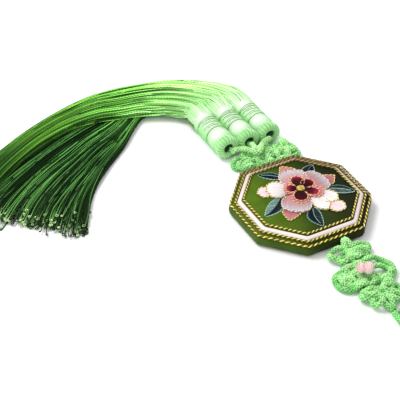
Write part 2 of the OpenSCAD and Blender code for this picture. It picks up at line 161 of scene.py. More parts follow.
# The embroidered flower on its plan: kind, root x, y, tip x, y, width,
# rounding of the tip, ruffles, depth of the ruffles, layer
PETALS = [
    ("bud", 4.0, 14.0, 2.8, 22.3, 8.2, 0.55, 0, 0.00, 0),
    ("bud", 13.5, 3.5, 20.9, 5.2, 7.6, 0.55, 2, 0.02, 0),
    ("bud", -8.6, -6.5, -13.6, -12.6, 8.0, 0.65, 0, 0.00, 0),
    ("tip", -10.2, 9.0, -16.2, 10.6, 7.2, 0.55, 2, 0.04, 0),
    ("tip", 8.2, -11.0, 12.6, -17.0, 7.8, 0.55, 2, 0.03, 0),
    ("white", -3.0, 7.0, -11.9, 9.6, 11.4, 0.42, 3, 0.04, 1),
    ("white", 4.6, -3.2, 5.2, -13.9, 7.4, 0.45, 2, 0.03, 1),
    ("white", 7.6, -1.8, 12.6, -10.4, 8.4, 0.42, 2, 0.03, 1),
    ("lilac", 2.2, 6.2, 4.2, 17.4, 12.8, 0.36, 5, 0.035, 2),
    ("lilac", 5.6, 4.6, 15.8, 6.0, 14.6, 0.34, 5, 0.035, 2),
    ("lilac", -1.6, 0.6, -8.2, -9.4, 13.4, 0.36, 5, 0.035, 2),
    ("rose", 1.6, 4.6, 3.8, 12.0, 6.8, 0.45, 0, 0.00, 3),
    ("rose", 3.0, 3.6, 9.6, 6.4, 7.0, 0.45, 0, 0.00, 3),
    ("rose", 2.6, 1.8, 9.4, -4.0, 7.4, 0.40, 0, 0.00, 3),
    ("rose", 0.8, 1.8, -3.6, -5.6, 7.6, 0.42, 0, 0.00, 3),
    ("rose", 0.6, 3.6, -4.8, 6.8, 6.6, 0.42, 0, 0.00, 3),
    ("heart", 2.0, 4.8, 4.3, 11.6, 6.2, 0.50, 0, 0.00, 4),
    ("heart", 3.4, 3.9, 9.3, 5.7, 5.9, 0.50, 0, 0.00, 4),
    ("heart", 2.8, 1.6, 7.4, -3.5, 5.6, 0.45, 0, 0.00, 4),
    ("heart", 0.9, 1.8, -2.8, -4.6, 6.4, 0.45, 0, 0.00, 4),
    ("heart", 0.0, 3.7, -4.3, 6.1, 5.2, 0.45, 0, 0.00, 4),
]

# Leaves: root x, y, tip x, y, width, bow to the left of their run
LEAVES = [
    (-0.6, 14.8, -9.6, 21.8, 4.8, -0.6),
    (-8.6, 3.2, -21.6, -5.2, 6.6, 0.9),
    (13.0, -1.2, 23.0, -9.0, 5.4, 0.5),
    (0.4, -9.4, -2.6, -22.8, 6.4, -1.4),
    (9.0, 11.5, 16.4, 16.8, 5.6, 0.0),
]
LAYER_STEP = 0.32
STITCH_R = 0.17

# A petal's width at its root as a share of its full width, and how far out
# it is full
PETAL_ROOT, PETAL_FULL = 0.42, 0.72


# Shapes


def unit(v):
    """Vectors made 1 long."""
    return v / np.maximum(np.linalg.norm(v, axis=-1, keepdims=True), 1e-12)


def varied(i):
    """A share from 0 to 1 that differs much between neighbours."""
    return (i * 0.618) % 1


def once_round(count):
    """The angles of count even points round a circle."""
    return np.linspace(0, 2 * math.pi, count, endpoint=False)


def points_at(x, y, z):
    """Rows of points from x, y and z, each of them a row or one value."""
    return np.stack(np.broadcast_arrays(x, y, z), axis=-1)


def smooth_path(points, per_span):
    """Points on a smooth curve through rows of points, along axis -2."""
    p = np.asarray(points, float)
    first = 2 * p[..., :1, :] - p[..., 1:2, :]
    last = 2 * p[..., -1:, :] - p[..., -2:-1, :]
    p = np.concatenate([first, p, last], axis=-2)
    spans = p.shape[-2] - 3
    t = np.linspace(0, spans, spans * per_span + 1)
    i = np.minimum(t.astype(int), spans - 1)
    f = (t - i)[:, None]
    a, b, c, d = (p[..., i + k, :] for k in range(4))
    return 0.5 * (2 * b + (c - a) * f + (2 * a - 5 * b + 4 * c - d) * f ** 2
                  + (3 * b - a - 3 * c + d) * f ** 3)


def distances(path):
    """How far along a path each of its points lies."""
    return np.concatenate([[0], np.cumsum(np.linalg.norm(np.diff(path, axis=0), axis=1))])


def picked(path, at):
    """The points of a path at the given distances along it."""
    along = distances(path)
    return np.stack([np.interp(at, along, path[:, k]) for k in range(3)], axis=1)


def even_path(points, step, closed=False):
    """The same line with points at an even distance near step, and its length."""
    path = np.vstack([points, points[:1]]) if closed else np.asarray(points)
    length = distances(path)[-1]
    count = max(int(round(length / step)), 4)
    at = np.linspace(0, length, count + (0 if closed else 1), endpoint=not closed)
    return picked(path, at), length


def sides_of(path, closed=False):
    """The side and the rise at each point of a path that lies about level."""
    if closed:
        run = unit(np.roll(path, -1, axis=0) - np.roll(path, 1, axis=0))
    else:
        run = unit(np.gradient(path, axis=0))
    side = unit(np.cross(run, (0.0, 0.0, 1.0)))
    return side, np.cross(side, run)


def sweep(name, paths, radius, sides=4, closed=False, turn="MINIMUM", **values):
    """One mesh of round tubes along paths in millimetres, with a value per
    path point, or per path, kept as point attributes."""
    curve = bpy.data.curves.new(name, "CURVE")
    curve.dimensions = "3D"
    curve.bevel_depth = radius * MM
    curve.bevel_resolution = (sides - 4) // 2
    curve.twist_mode = turn
    for path in paths:
        spline = curve.splines.new("POLY")
        spline.points.add(len(path) - 1)
        spline.points.foreach_set(
            "co", np.hstack([np.asarray(path) * MM, np.ones((len(path), 1))]).ravel())
        spline.use_cyclic_u = closed
        spline.use_smooth = True
    carrier = bpy.data.objects.new(name, curve)
    mesh = bpy.data.meshes.new_from_object(carrier)
    bpy.data.objects.remove(carrier)
    bpy.data.curves.remove(curve)
    mesh.name = name
    for key, per_path in values.items():
        rows = [np.broadcast_to(v, (len(p),)) for v, p in zip(per_path, paths)]
        layer = mesh.attributes.new(key, "FLOAT", "POINT")
        layer.data.foreach_set("value", np.repeat(np.concatenate(rows), sides).astype(np.float32))
    return mesh


def piece(name, mesh, material, slot, *nodes):
    """Links a mesh as a piece of the object that rides on its body."""
    mesh.materials.clear()
    mesh.materials.append(material)
    mesh.shade_smooth()
    made = bpy.data.objects.new(name, mesh)
    bpy.context.scene.collection.objects.link(made)
    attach(made, BODY)
    if nodes:
        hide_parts(*nodes)
    return made


def mesh_of(bm, name):
    """The mesh of a finished bmesh, which is freed."""
    mesh = bpy.data.meshes.new(name)
    bm.to_mesh(mesh)
    bm.free()
    return mesh


def spun(outline, axis, steps):
    """A bmesh turned round an axis from an outline of x and y in millimetres."""
    bm = bmesh.new()
    verts = [bm.verts.new((x * MM, y * MM, 0)) for x, y in outline]
    edges = [bm.edges.new(pair) for pair in zip(verts, verts[1:])]
    bmesh.ops.spin(bm, geom=verts + edges, axis=axis, cent=(0, 0, 0), steps=steps,
                   angle=2 * math.pi, use_merge=True)
    return bm


def put(bm, place, turn=0.0, axis="Z"):
    """Turns a bmesh about an axis, and moves it to its place in millimetres."""
    bmesh.ops.rotate(bm, verts=bm.verts, cent=(0, 0, 0), matrix=Matrix.Rotation(turn, 3, axis))
    bmesh.ops.translate(bm, verts=bm.verts, vec=Vector(place) * MM)


def octagon_path(r, z, per_side):
    """A closed octagon with rounded corners, at distance r over its flats,
    and with its two ends a little longer, as the sewn one has."""
    far = (r - CORNER_BEND) / math.cos(SIDE_TURN / 2)

    def bend(corner, share):
        middle = (corner + 0.5) * SIDE_TURN
        at = middle + share * SIDE_TURN / 2
        return np.array((far * math.cos(middle) + CORNER_BEND * math.cos(at),
                         far * math.sin(middle) + CORNER_BEND * math.sin(at), z))

    points = []
    for corner in range(8):
        points += [bend(corner, share) for share in (-1, -0.5, 0, 0.5, 1)]
        start, end = points[-1], bend(corner + 1, -1)
        points += [start + (end - start) * k / per_side for k in range(1, per_side)]
    points = np.array(points)
    knee = r * math.tan(SIDE_TURN / 2)
    share = np.clip((np.abs(points[:, 1]) - knee) / (r - knee), 0, 1)
    points[:, 0] += np.clip(points[:, 0] / knee, -1, 1) * share * END_STRETCH * r
    return points


def ring_stack(levels, per_side, closed=False):
    """Octagon rings at radii and heights, bridged into one skin."""
    bm = bmesh.new()
    loops = []
    for r, z in levels:
        path = octagon_path(r, z, per_side) * MM
        verts = [bm.verts.new(p) for p in path]
        loops.append([bm.edges.new((verts[i], verts[(i + 1) % len(verts)]))
                      for i in range(len(verts))])
    pairs = list(zip(loops, loops[1:])) + ([(loops[-1], loops[0])] if closed else [])
    for a, b in pairs:
        bmesh.ops.bridge_loops(bm, edges=a + b)
    if not closed:
        for loop in (loops[0], loops[-1]):
            bmesh.ops.contextual_create(bm, geom=loop)
    bmesh.ops.recalc_face_normals(bm, faces=bm.faces)
    return bm


def ripple(bm, amount, size, seed):
    """Moves points a little along their normals, as padded cloth is never even."""
    shift = Vector((seed * 1.7, seed * 0.3, seed * 2.1))
    bm.normal_update()
    for v in bm.verts:
        v.co += v.normal * noise.noise(v.co / (size * MM) + shift) * amount * MM


def turning(path, pitch, step, closed):
    """Even points along a path, their sides and rises, and an angle that
    makes one turn in each pitch."""
    line, length = even_path(path, step, closed)
    turns = max(round(length / pitch), 1) if closed else length / pitch
    at = np.linspace(0, 2 * math.pi * turns, len(line), endpoint=not closed)[:, None]
    side, rise = sides_of(line, closed)
    return line, side, rise, at


def twisted(path, d, pitch, step, closed=False):
    """Paths of the two plies of a twisted thread of thickness d."""
    line, side, rise, at = turning(path, pitch, step, closed)
    return [line + d / 4 * (np.cos(at + start) * side + np.sin(at + start) * rise)
            for start in (0, math.pi)]


def plaited(path, d, closed=False):
    """The eight strands of a round plait, four each way round, and how far
    each point lies on top."""
    line, side, rise, at = turning(path, PLAIT_PITCH, PLAIT_STEP, closed)
    out, shares = [], []
    for way in (1, -1):
        over = way * np.sin(4 * at)
        reach = d / 2 * (PLAIT_REACH + PLAIT_SWING * over)
        for k in range(4):
            turn = way * at + k * math.pi / 2 + (0 if way > 0 else math.pi / 4)
            out.append(line + reach * (np.cos(turn) * side + np.sin(turn) * rise))
            # This share also picks the cord's colour: a painted highlight where a strand lies on top,
            # painted shade where it dips under
            shares.append(np.clip(0.55 + 0.55 * over[:, 0], 0.08, 1))
    return out, shares


def cord_d():
    """The plaited cord's diameter in millimetres, as it is set."""
    return round(bpy.context.scene.norigae_cord.thickness / MM, 3)


def plaited_mesh(name, routes, closed=False):
    """A mesh of plaited cords with a core, along routes in millimetres."""
    strands, shares, cores = [], [], []
    for route in routes:
        paths, over = plaited(route, cord_d(), closed)
        strands += paths
        shares += over
        cores.append(even_path(route, 1.0, closed)[0])
    mesh = sweep(name, strands, cord_d() * STRAND_SHARE, 4, closed, strand=shares)
    # The core takes the deep colour: painted shade that shows in the gaps between the strands
    core = sweep(name + "_core", cores, cord_d() * CORE_SHARE, 8, closed, "Z_UP",
                 strand=[0.0] * len(cores))
    return merged(name, [mesh, core])


def merged(name, meshes):
    """One mesh made of several, with their attributes and materials."""
    made = []
    for mesh in meshes:
        carrier = bpy.data.objects.new(name, mesh)
        bpy.context.scene.collection.objects.link(carrier)
        made.append(carrier)
    with bpy.context.temp_override(active_object=made[0], object=made[0],
                                   selected_objects=made, selected_editable_objects=made):
        bpy.ops.object.join()
    mesh = made[0].data
    bpy.data.objects.remove(made[0])
    return mesh


def placed(path, place, turn):
    """A path turned about +Z and moved to its place."""
    x, y, z = np.asarray(path, float).T
    return points_at(x * math.cos(turn) - y * math.sin(turn) + place[0],
                     x * math.sin(turn) + y * math.cos(turn) + place[1], z)


# Materials


class Nodes:
    """Short calls for a node tree."""

    def __init__(self, tree):
        self.tree = tree

    def feed(self, socket, value):
        """Links a socket to another one, or sets it to a number or a colour."""
        if isinstance(value, bpy.types.NodeSocket):
            self.tree.links.new(value, socket)
        elif socket.type == "RGBA" and len(value) == 3:
            socket.default_value = (*value, 1.0)
        else:
            socket.default_value = value

    def add(self, kind, inputs=None, **settings):
        """A new node with its settings and inputs."""
        node = self.tree.nodes.new(kind)
        for key, value in settings.items():
            setattr(node, key, value)
        for key, value in (inputs or {}).items():
            self.feed(node.inputs[key], value)
        return node

    def value(self, name):
        """A point attribute."""
        return self.add("ShaderNodeAttribute", attribute_name=name).outputs["Fac"]

    def place(self):
        """The place on the object."""
        return self.add("ShaderNodeTexCoord").outputs["Object"]

    def parts(self):
        """The X, Y and Z of the place on the object."""
        return self.add("ShaderNodeSeparateXYZ", {"Vector": self.place()}).outputs

    def math(self, operation, a, b=0.0):
        """A sum, product or the like of one or two values."""
        return self.add("ShaderNodeMath", {0: a, 1: b}, operation=operation).outputs[0]

    def bright(self, colour, gain):
        """A colour made brighter or darker."""
        return self.add("ShaderNodeHueSaturation", {"Value": gain, "Color": colour}).outputs["Color"]

    def stretch(self, value, low, high, to_low, to_high):
        """A value stretched from one span to another, and kept inside it."""
        return self.add("ShaderNodeMapRange", {
            "Value": value, "From Min": low, "From Max": high,
            "To Min": to_low, "To Max": to_high}).outputs[0]

    def ramp(self, fac, stops):
        """A colour from stops of a place and a colour."""
        node = self.add("ShaderNodeValToRGB", {"Fac": fac})
        ramp = node.color_ramp
        while len(ramp.elements) < len(stops):
            ramp.elements.new(0.5)
        for element, (at, colour) in zip(ramp.elements, stops):
            element.position = at
            element.color = (*colour, 1.0)
        return node.outputs["Color"]

    def mix(self, fac, a, b, blend="MIX"):
        """One colour from two."""
        node = self.add("ShaderNodeMix", data_type="RGBA", blend_type=blend)
        for name, value in (("Factor", fac), ("A", a), ("B", b)):
            socket = next(s for s in node.inputs if s.name == name and s.enabled)
            self.feed(socket, value)
        return next(s for s in node.outputs if s.enabled)


def effect_group(name, ins, outs, build):
    """A shader node group with named inputs and outputs, made once."""
    if name in bpy.data.node_groups:
        return bpy.data.node_groups[name]
    tree = bpy.data.node_groups.new(name, "ShaderNodeTree")
    for key, kind, default in ins:
        socket = tree.interface.new_socket(name=key, in_out="INPUT", socket_type=kind)
        socket.default_value = default
    for key, kind in outs:
        tree.interface.new_socket(name=key, in_out="OUTPUT", socket_type=kind)
    nodes = Nodes(tree)
    start = nodes.add("NodeGroupInput")
    end = nodes.add("NodeGroupOutput")
    build(nodes, start, end)
    return tree


def uneven_group():
    """Slow changes of tone over a piece, at random: uneven dye on most pieces, and painted reflections and
    glints where strong, as on the green silk and the gold.
    """
    def build(nodes, start, end):
        cloud = nodes.add("ShaderNodeTexNoise", {
            "Vector": nodes.place(), "Scale": start.outputs["Scale"], "Detail": 3.0}).outputs["Fac"]
        shade = nodes.stretch(cloud, 0.3, 0.7, -1.0, 1.0)
        gain = nodes.math("ADD", nodes.math("MULTIPLY", shade, start.outputs["Amount"]), 1.0)
        nodes.feed(end.inputs["Color"], nodes.bright(start.outputs["Color"], gain))
    return effect_group(
        "Uneven tone",
        [("Color", "NodeSocketColor", (1, 1, 1, 1)), ("Scale", "NodeSocketFloat", 100.0),
         ("Amount", "NodeSocketFloat", 0.1)],
        [("Color", "NodeSocketColor")], build)


def fibre_group():
    """The relief of fine silk fibres, stretched along one direction."""
    def build(nodes, start, end):
        moved = nodes.add("ShaderNodeMapping", {
            "Vector": nodes.place(), "Scale": start.outputs["Stretch"]}).outputs["Vector"]
        grain = nodes.add("ShaderNodeTexNoise", {
            "Vector": moved, "Scale": start.outputs["Scale"], "Detail": 2.0}).outputs["Fac"]
        nodes.feed(end.inputs["Height"], grain)
    return effect_group(
        "Silk fibres",
        [("Stretch", "NodeSocketVector", (1, 1, 1)), ("Scale", "NodeSocketFloat", 3000.0)],
        [("Height", "NodeSocketFloat")], build)


def fabric(name, colour, roughness=0.5, sheen=0.3, bump=0.25, stretch=(1, 1, 1), scale=3000.0,
           uneven=0.08, tone_scale=120.0, metallic=0.0, coat=0.0, specular=0.5):
    """A silk or thread material. colour is one colour, or a function that
    makes a colour socket from the nodes."""
    made = bpy.data.materials.new(name)
    made.use_nodes = True
    nodes = Nodes(made.node_tree)
    shader = made.node_tree.nodes["Principled BSDF"]
    tone = nodes.add("ShaderNodeGroup", {
        "Color": colour(nodes) if callable(colour) else colour,
        "Scale": tone_scale, "Amount": uneven}, node_tree=uneven_group())
    fibres = nodes.add("ShaderNodeGroup", {"Stretch": stretch, "Scale": scale},
                       node_tree=fibre_group())
    relief = nodes.add("ShaderNodeBump", {
        "Height": fibres.outputs["Height"], "Strength": bump, "Distance": 0.0001})
    for key, value in (("Base Color", tone.outputs["Color"]), ("Normal", relief.outputs["Normal"]),
                       ("Roughness", roughness), ("Metallic", metallic),
                       ("Sheen Weight", sheen), ("Sheen Roughness", 0.35),
                       ("Coat Weight", coat), ("Coat Roughness", 0.3),
                       ("Specular IOR Level", specular)):
        nodes.feed(shader.inputs[key], value)
    return made


def between(low, high, attribute="strand"):
    """A colour between two, chosen by a point attribute."""
    return lambda nodes: nodes.mix(nodes.value(attribute), low, high)


def slant(nodes, x_gain, y_gain):
    """A factor for painted light and shade that change slowly over the pendant: 0.5 at its
    middle, and growing by the gains for each metre in X and Y."""
    parts = nodes.parts()
    across = nodes.math("ADD", nodes.math("MULTIPLY", parts["X"], x_gain),
                        nodes.math("MULTIPLY", parts["Y"], y_gain))
    return nodes.math("ADD", across, 0.5)


# Sizes and colours


def colour_prop(name, description, default):
    """A colour that the panel shows."""
    return bpy.props.FloatVectorProperty(
        name=name, description=description, default=default, size=3, min=0, max=1,
        subtype="COLOR")


class NorigaeCordSettings(bpy.types.PropertyGroup):
    """The plaited cord's size and colours"""
    thickness: bpy.props.FloatProperty(
        name="Cord thickness", description="Diameter of the plaited cord",
        default=CORD_D * MM, min=0.002, max=0.0034, subtype="DISTANCE", unit="LENGTH")
    # The cord's colour where a strand lies on top: a painted highlight
    light: colour_prop("Light strands", "Colour of the cord's lighter strands", (0.65, 1.0, 0.49))
    # The cord's colour where a strand dips under, and of its core: painted shade
    deep: colour_prop("Deep strands", "Colour of the cord's deeper strands", (0.035, 0.48, 0.05))


class NorigaePendantSettings(bpy.types.PropertyGroup):
    """The pendant's colours"""
    field: colour_prop("Field", "Colour of the silk field", (0.028, 0.047, 0.003))
    border: colour_prop("Border", "Colour of the green border", (0.046, 0.060, 0.004))
    band: colour_prop("Band", "Colour of the satin band", (0.82, 0.70, 0.69))
    gold: colour_prop("Gold", "Colour of the gold cords", (1.0, 0.84, 0.20))


class NorigaeTasselSettings(bpy.types.PropertyGroup):
    """The tassels' threads"""
    thread: bpy.props.FloatProperty(
        name="Thread thickness", description="Diameter of one tassel thread",
        default=0.00062, min=0.0003, max=0.001, subtype="DISTANCE", unit="LENGTH")
    top_count: bpy.props.IntProperty(
        name="Top threads", description="Threads in a tassel's upper layer", default=170, min=20, max=260)
    under_count: bpy.props.IntProperty(
        name="Under threads", description="Threads in a tassel's lower layer", default=190, min=20, max=260)
    seed: bpy.props.IntProperty(
        name="Seed", description="Seed of the threads' small differences", default=7, min=0)


class NorigaeStageSettings(bpy.types.PropertyGroup):
    """The floor and the lights"""
    floor: colour_prop("Floor", "Colour of the floor", (0.97, 0.97, 0.97))
    world: bpy.props.FloatProperty(
        name="Room light", description="Strength of the even light all round", default=0.76, min=0)
    key: bpy.props.FloatProperty(
        name="Key light", description="Power of the main light", default=6.0, min=0,
        subtype="POWER", unit="POWER")


# Pieces


class NORIGAE_OT_hanging_loop(bpy.types.Operator):
    """Make the hanging loop's free cord"""
    bl_idname = "norigae.hanging_loop"
    bl_label = "Hanging loop"

    def execute(self, context):
        route = smooth_path(np.array(LOOP_ROUTE) + (*LOOP_START, 0), 8)
        line, length = even_path(route, 1.0)
        made = piece("hanging_loop_cord", plaited_mesh("hanging_loop_cord", [route]),
                     cord_material(), "mint_cord", "hanging_loop")
        [tuple(p * MM) for p in line]
        return {"FINISHED"}


def cord_material():
    """Plaited mint silk with painted light and shade: strands paler where they lie on top and deeper where
    they dip under, a deep core in the gaps, and painted shade low down near the floor.
    """
    settings = bpy.context.scene.norigae_cord

    def plait(nodes):
        height = nodes.stretch(nodes.parts()["Z"], CORD_SHADED * MM, CORD_LIT * MM, 0.0, 1.0)
        lit_crest = nodes.mix(nodes.value("strand"), tuple(settings.deep), tuple(settings.light))
        # Painted shade for the low-lying parts of the cord
        shaded_hollow = nodes.mix(nodes.value("strand"), tuple(c * 0.7 for c in settings.deep),
                           tuple(0.34 * a + 0.8 * b for a, b in zip(settings.light, settings.deep)))
        return nodes.mix(height, shaded_hollow, lit_crest)

    made = bpy.data.materials.get("Mint silk cord")
    return made or fabric("Mint silk cord", plait, roughness=0.38, sheen=0.0, bump=0.2,
                          uneven=0.26, tone_scale=300.0, specular=0.3)


# Loops of the knots: middle x, y, reach along and across the loop's run, the
# run's turn in degrees, its way in the weave, and how far its ends droop
CLOVER_NEAR_LOOPS = [
    (0.4, 1.2, 9.6, 2.9, -2, 1, 0.5),
    (1.3, 1.2, 6.1, 1.5, 88, -1, -0.9),
    (-3.4, -1.6, 3.6, 2.2, 38, 1, 0.2),
    (4.4, -1.6, 3.4, 2.1, -36, -1, 0.2),
    (0.4, -2.6, 3.0, 2.0, 92, 1, 0.6),
]
CLOVER_FAR_LOOPS = [
    (0.4, 1.0, 9.2, 2.9, -4, 1, 0.6),
    (-0.5, -2.6, 6.7, 1.5, 92, -1, 0.8),
    (-3.6, 2.4, 3.4, 2.2, -40, -1, 0.2),
    (4.6, 2.6, 3.2, 2.1, 38, 1, 0.2),
    (-3.6, -3.0, 3.4, 2.1, 46, 1, 0.3),
    (3.4, -2.8, 3.4, 2.1, -44, -1, 0.3),
]
WING_LOOPS = [
    (-6.6, 0.1, 6.6, 6.0, 0, 1, 0.9),
    (6.9, 0.8, 6.9, 7.1, 0, 1, 0.9),
    (-6.4, 2.0, 5.2, 1.6, 32, -1, -0.1),
    (-9.5, 0.0, 3.9, 1.6, 84, 1, -0.1),
    (-4.4, -0.8, 4.6, 1.6, 98, -1, 0.1),
    (7.4, -1.2, 4.6, 3.0, -16, -1, -0.3),
    (-6.4, -2.6, 4.9, 1.6, -20, 1, -0.2),
    (0.2, 0.2, 7.0, 2.7, 88, -1, 0.3),
    (0.0, -4.0, 5.4, 2.2, 4, 1, 0.2),
    (-0.4, 4.0, 5.2, 2.2, -3, 1, 0.2),
]
LOWER_LOOPS = [
    (-11.4, 0.9, 4.7, 2.9, 14, 1, 0.6),
    (11.9, -0.4, 4.6, 3.1, -8, 1, 0.6),
    (-6.6, 0.2, 5.0, 2.5, 84, -1, 0.4),
    (-1.6, -0.2, 5.6, 2.5, 94, 1, 0.4),
    (3.6, 0.2, 5.6, 2.5, 86, -1, 0.4),
    (8.2, 0.2, 5.0, 2.4, 96, 1, 0.4),
    (-4.4, 2.4, 6.0, 2.2, 8, 1, 0.1),
    (5.4, 2.5, 6.2, 2.2, -6, -1, 0.1),
    (-4.2, -2.6, 6.2, 2.2, -6, -1, 0.1),
    (5.2, -2.6, 6.2, 2.2, 6, 1, 0.1),
    (10.4, 3.8, 3.6, 2.2, 62, -1, -0.8),
    (13.4, 2.6, 3.4, 2.1, 118, 1, -0.5),
    (-11.0, -2.4, 3.2, 2.1, -24, -1, 0.3),
    (-6.8, 4.6, 3.8, 1.6, 24, -1, -1.0),
    (2.6, 5.0, 4.2, 1.7, 84, 1, -1.0),
    (7.4, 4.6, 3.6, 1.7, 20, -1, -1.0),
]


def woven_loop(row, steps=64):
    """A closed loop of cord that weaves with its neighbours in two storeys."""
    x, y, along, across, turn, way, droop = row
    t = once_round(steps)
    px = along * np.sign(np.cos(t)) * np.abs(np.cos(t)) ** LOOP_POWER
    py = across * np.sign(np.sin(t)) * np.abs(np.sin(t)) ** LOOP_POWER
    flat = placed(points_at(px, py, 0.0), (x, y), math.radians(turn))
    weave = np.sin(math.pi * (flat[:, 0] / WEAVE_X + WEAVE_SHIFT))
    weave = weave * np.cos(math.pi * flat[:, 1] / WEAVE_Y)
    z = KNOT_T / 2 + way * (KNOT_T - CORD_D) / 2 * weave - droop * (px / along) ** 4
    flat[:, 2] = np.maximum(z, CORD_D / 2 + FLOOR_GAP)
    return even_path(flat, LOOP_STEP, closed=True)[0]


class NORIGAE_OT_knots(bpy.types.Operator):
    """Make the knots of plaited cord"""
    bl_idname = "norigae.knots"
    bl_label = "Knots"

    KNOTS = (
        ("clover_knot_near", CLOVER_NEAR_LOOPS, CLOVER_NEAR, UPPER_TURN),
        ("wing_knot", WING_LOOPS, WING, UPPER_TURN),
        ("clover_knot_far", CLOVER_FAR_LOOPS, CLOVER_FAR, UPPER_TURN),
        ("lower_knot", LOWER_LOOPS, LOWER, LOWER_TURN),
    )

    # The small ring: its place from the lower knot's middle, and its radius as
    # a share of the cord's thickness
    RING_X, RING_Y, RING_SHARE = -3.5, 1.82, 0.64

    # How far below the heads' middles the short cords go in, and how far in
    # they reach
    ENTRY_DROP, ENTRY_DEPTH = 1.3, 4.5

    def execute(self, context):
        for name, rows, place, turn in self.KNOTS:
            loops = [placed(woven_loop(row), place, turn) for row in rows]
            mesh = plaited_mesh(name + "_cord", loops, closed=True)
            piece(name + "_cord", mesh, cord_material(), "mint_cord", name)
        self.tassel_cords()
        return {"FINISHED"}

    def tassel_cords(self):
        """The small ring on the lower knot, and its cords into the heads."""
        ring_r = CORD_D * self.RING_SHARE
        x, y, z = LOWER[0] + self.RING_X, LOWER[1] + self.RING_Y, KNOT_T + SEAT_GAP + CORD_D / 2
        entry_z = HEAD_D / 2 - self.ENTRY_DROP
        t = once_round(24)
        ring = points_at(x + ring_r * np.cos(t), y + ring_r * np.sin(t), z)
        runs = []
        for i in (-1, 0, 1):
            head_x = TASSEL_X + i * HEAD_D
            sx, sy = x + i * ring_r, y + ring_r * (1 - abs(i))
            runs.append(smooth_path([
                (sx, sy, z),
                (sx + (head_x - sx) * 0.35, sy + (HEAD_Y - sy) * 0.45, z),
                (sx + (head_x - sx) * 0.8, HEAD_Y - CORD_D * 0.95, (z + HEAD_D / 2) / 2),
                (head_x - i * 1.8, HEAD_Y - CORD_D * 0.25, entry_z),
                (head_x - i * 1.6, HEAD_Y + self.ENTRY_DEPTH, entry_z)], 6))
        mesh = merged("tassel_cord_runs", [plaited_mesh("ring", [ring], closed=True),
                                           plaited_mesh("runs", runs)])
        piece("tassel_cord_runs", mesh, cord_material(), "mint_cord", "tassel_cords")


class NORIGAE_OT_pink_wrap(bpy.types.Operator):
    """Make the pink wrap over the wing knot"""
    bl_idname = "norigae.pink_wrap"
    bl_label = "Pink wrap"

    LENGTH, DIAMETER = 6.8, 5.0
    FLAT = 0.32 * DIAMETER
    TURN = math.radians(-28)
    COILS = 46
    THREAD_R = 0.17

    # How far a turn of thread leans, how high the turns stay over the wrap's
    # flat underside, and how far inside them the core stays
    LEAN, LIFT, CORE_GAP = 0.35, 0.15, 0.12
    MIDDLE = (WING[0] - 0.6, WING[1] - 0.9, KNOT_T + SEAT_GAP + FLAT)

    # The wrap from end to end: place as a share of its length, radius as a
    # share of its own
    OUTLINE = [
        (-0.50, 0.25), (-0.48, 0.48), (-0.42, 0.70), (-0.32, 0.88), (-0.22, 0.90), (-0.12, 0.76),
        (-0.06, 0.60), (-0.01, 0.66), (0.06, 0.88), (0.15, 1.02), (0.26, 1.06), (0.37, 0.96),
        (0.45, 0.72), (0.49, 0.45), (0.50, 0.22),
    ]

    def execute(self, context):
        self.thread()
        self.core()
        return {"FINISHED"}

    def thread(self):
        """The wound turns of thread, flat where they lie on the knot."""
        line = smooth_path([(x * self.LENGTH, r * self.DIAMETER / 2, 0) for x, r in self.OUTLINE], 4)
        t = once_round(22)
        loops = []
        for i in range(self.COILS):
            x = (i + 0.5) / self.COILS - 0.5
            r = np.interp(x * self.LENGTH, line[:, 0], line[:, 1])
            lean = self.LEAN * math.sin(i * 2.4)
            loop = points_at(x * self.LENGTH + lean * np.sin(t), r * np.cos(t),
                             np.maximum(r * np.sin(t), self.LIFT - self.FLAT))
            loops.append(placed(loop, (0, 0), self.TURN) + self.MIDDLE)
        mesh = sweep("pink_wrap_thread", loops, self.THREAD_R, 6, closed=True,
                     strand=[varied(i) for i in range(self.COILS)])
        shader = fabric("Pink silk thread", between((0.86, 0.52, 0.54), (0.98, 0.78, 0.77)),
                        roughness=0.5, sheen=0.4, bump=0.2)
        piece("pink_wrap_thread", mesh, shader, "pink_thread", "pink_wrap")

    def core(self):
        """The closed body under the thread."""
        bm = spun([(x * self.LENGTH, r * (self.DIAMETER / 2 - self.CORE_GAP)) for x, r in self.OUTLINE],
                  (1, 0, 0), 24)
        for end in (-0.5, 0.5):
            rim = [e for e in bm.edges if e.is_boundary
                   and all(abs(v.co.x - end * self.LENGTH * MM) < 1e-5 for v in e.verts)]
            if rim:
                bmesh.ops.contextual_create(bm, geom=rim)
        for v in bm.verts:
            v.co.z = max(v.co.z, -self.FLAT * MM)
        put(bm, self.MIDDLE, self.TURN)
        bmesh.ops.recalc_face_normals(bm, faces=bm.faces)
        piece("pink_wrap_core", mesh_of(bm, "pink_wrap_core"),
              fabric("Pink wrap core", (0.55, 0.22, 0.24), roughness=0.7), "pink_thread")


def border_z(r):
    """The height of the sloping border at distance r from the middle."""
    return WALL_TOP + (PENDANT_HALF - r) * SLOPE


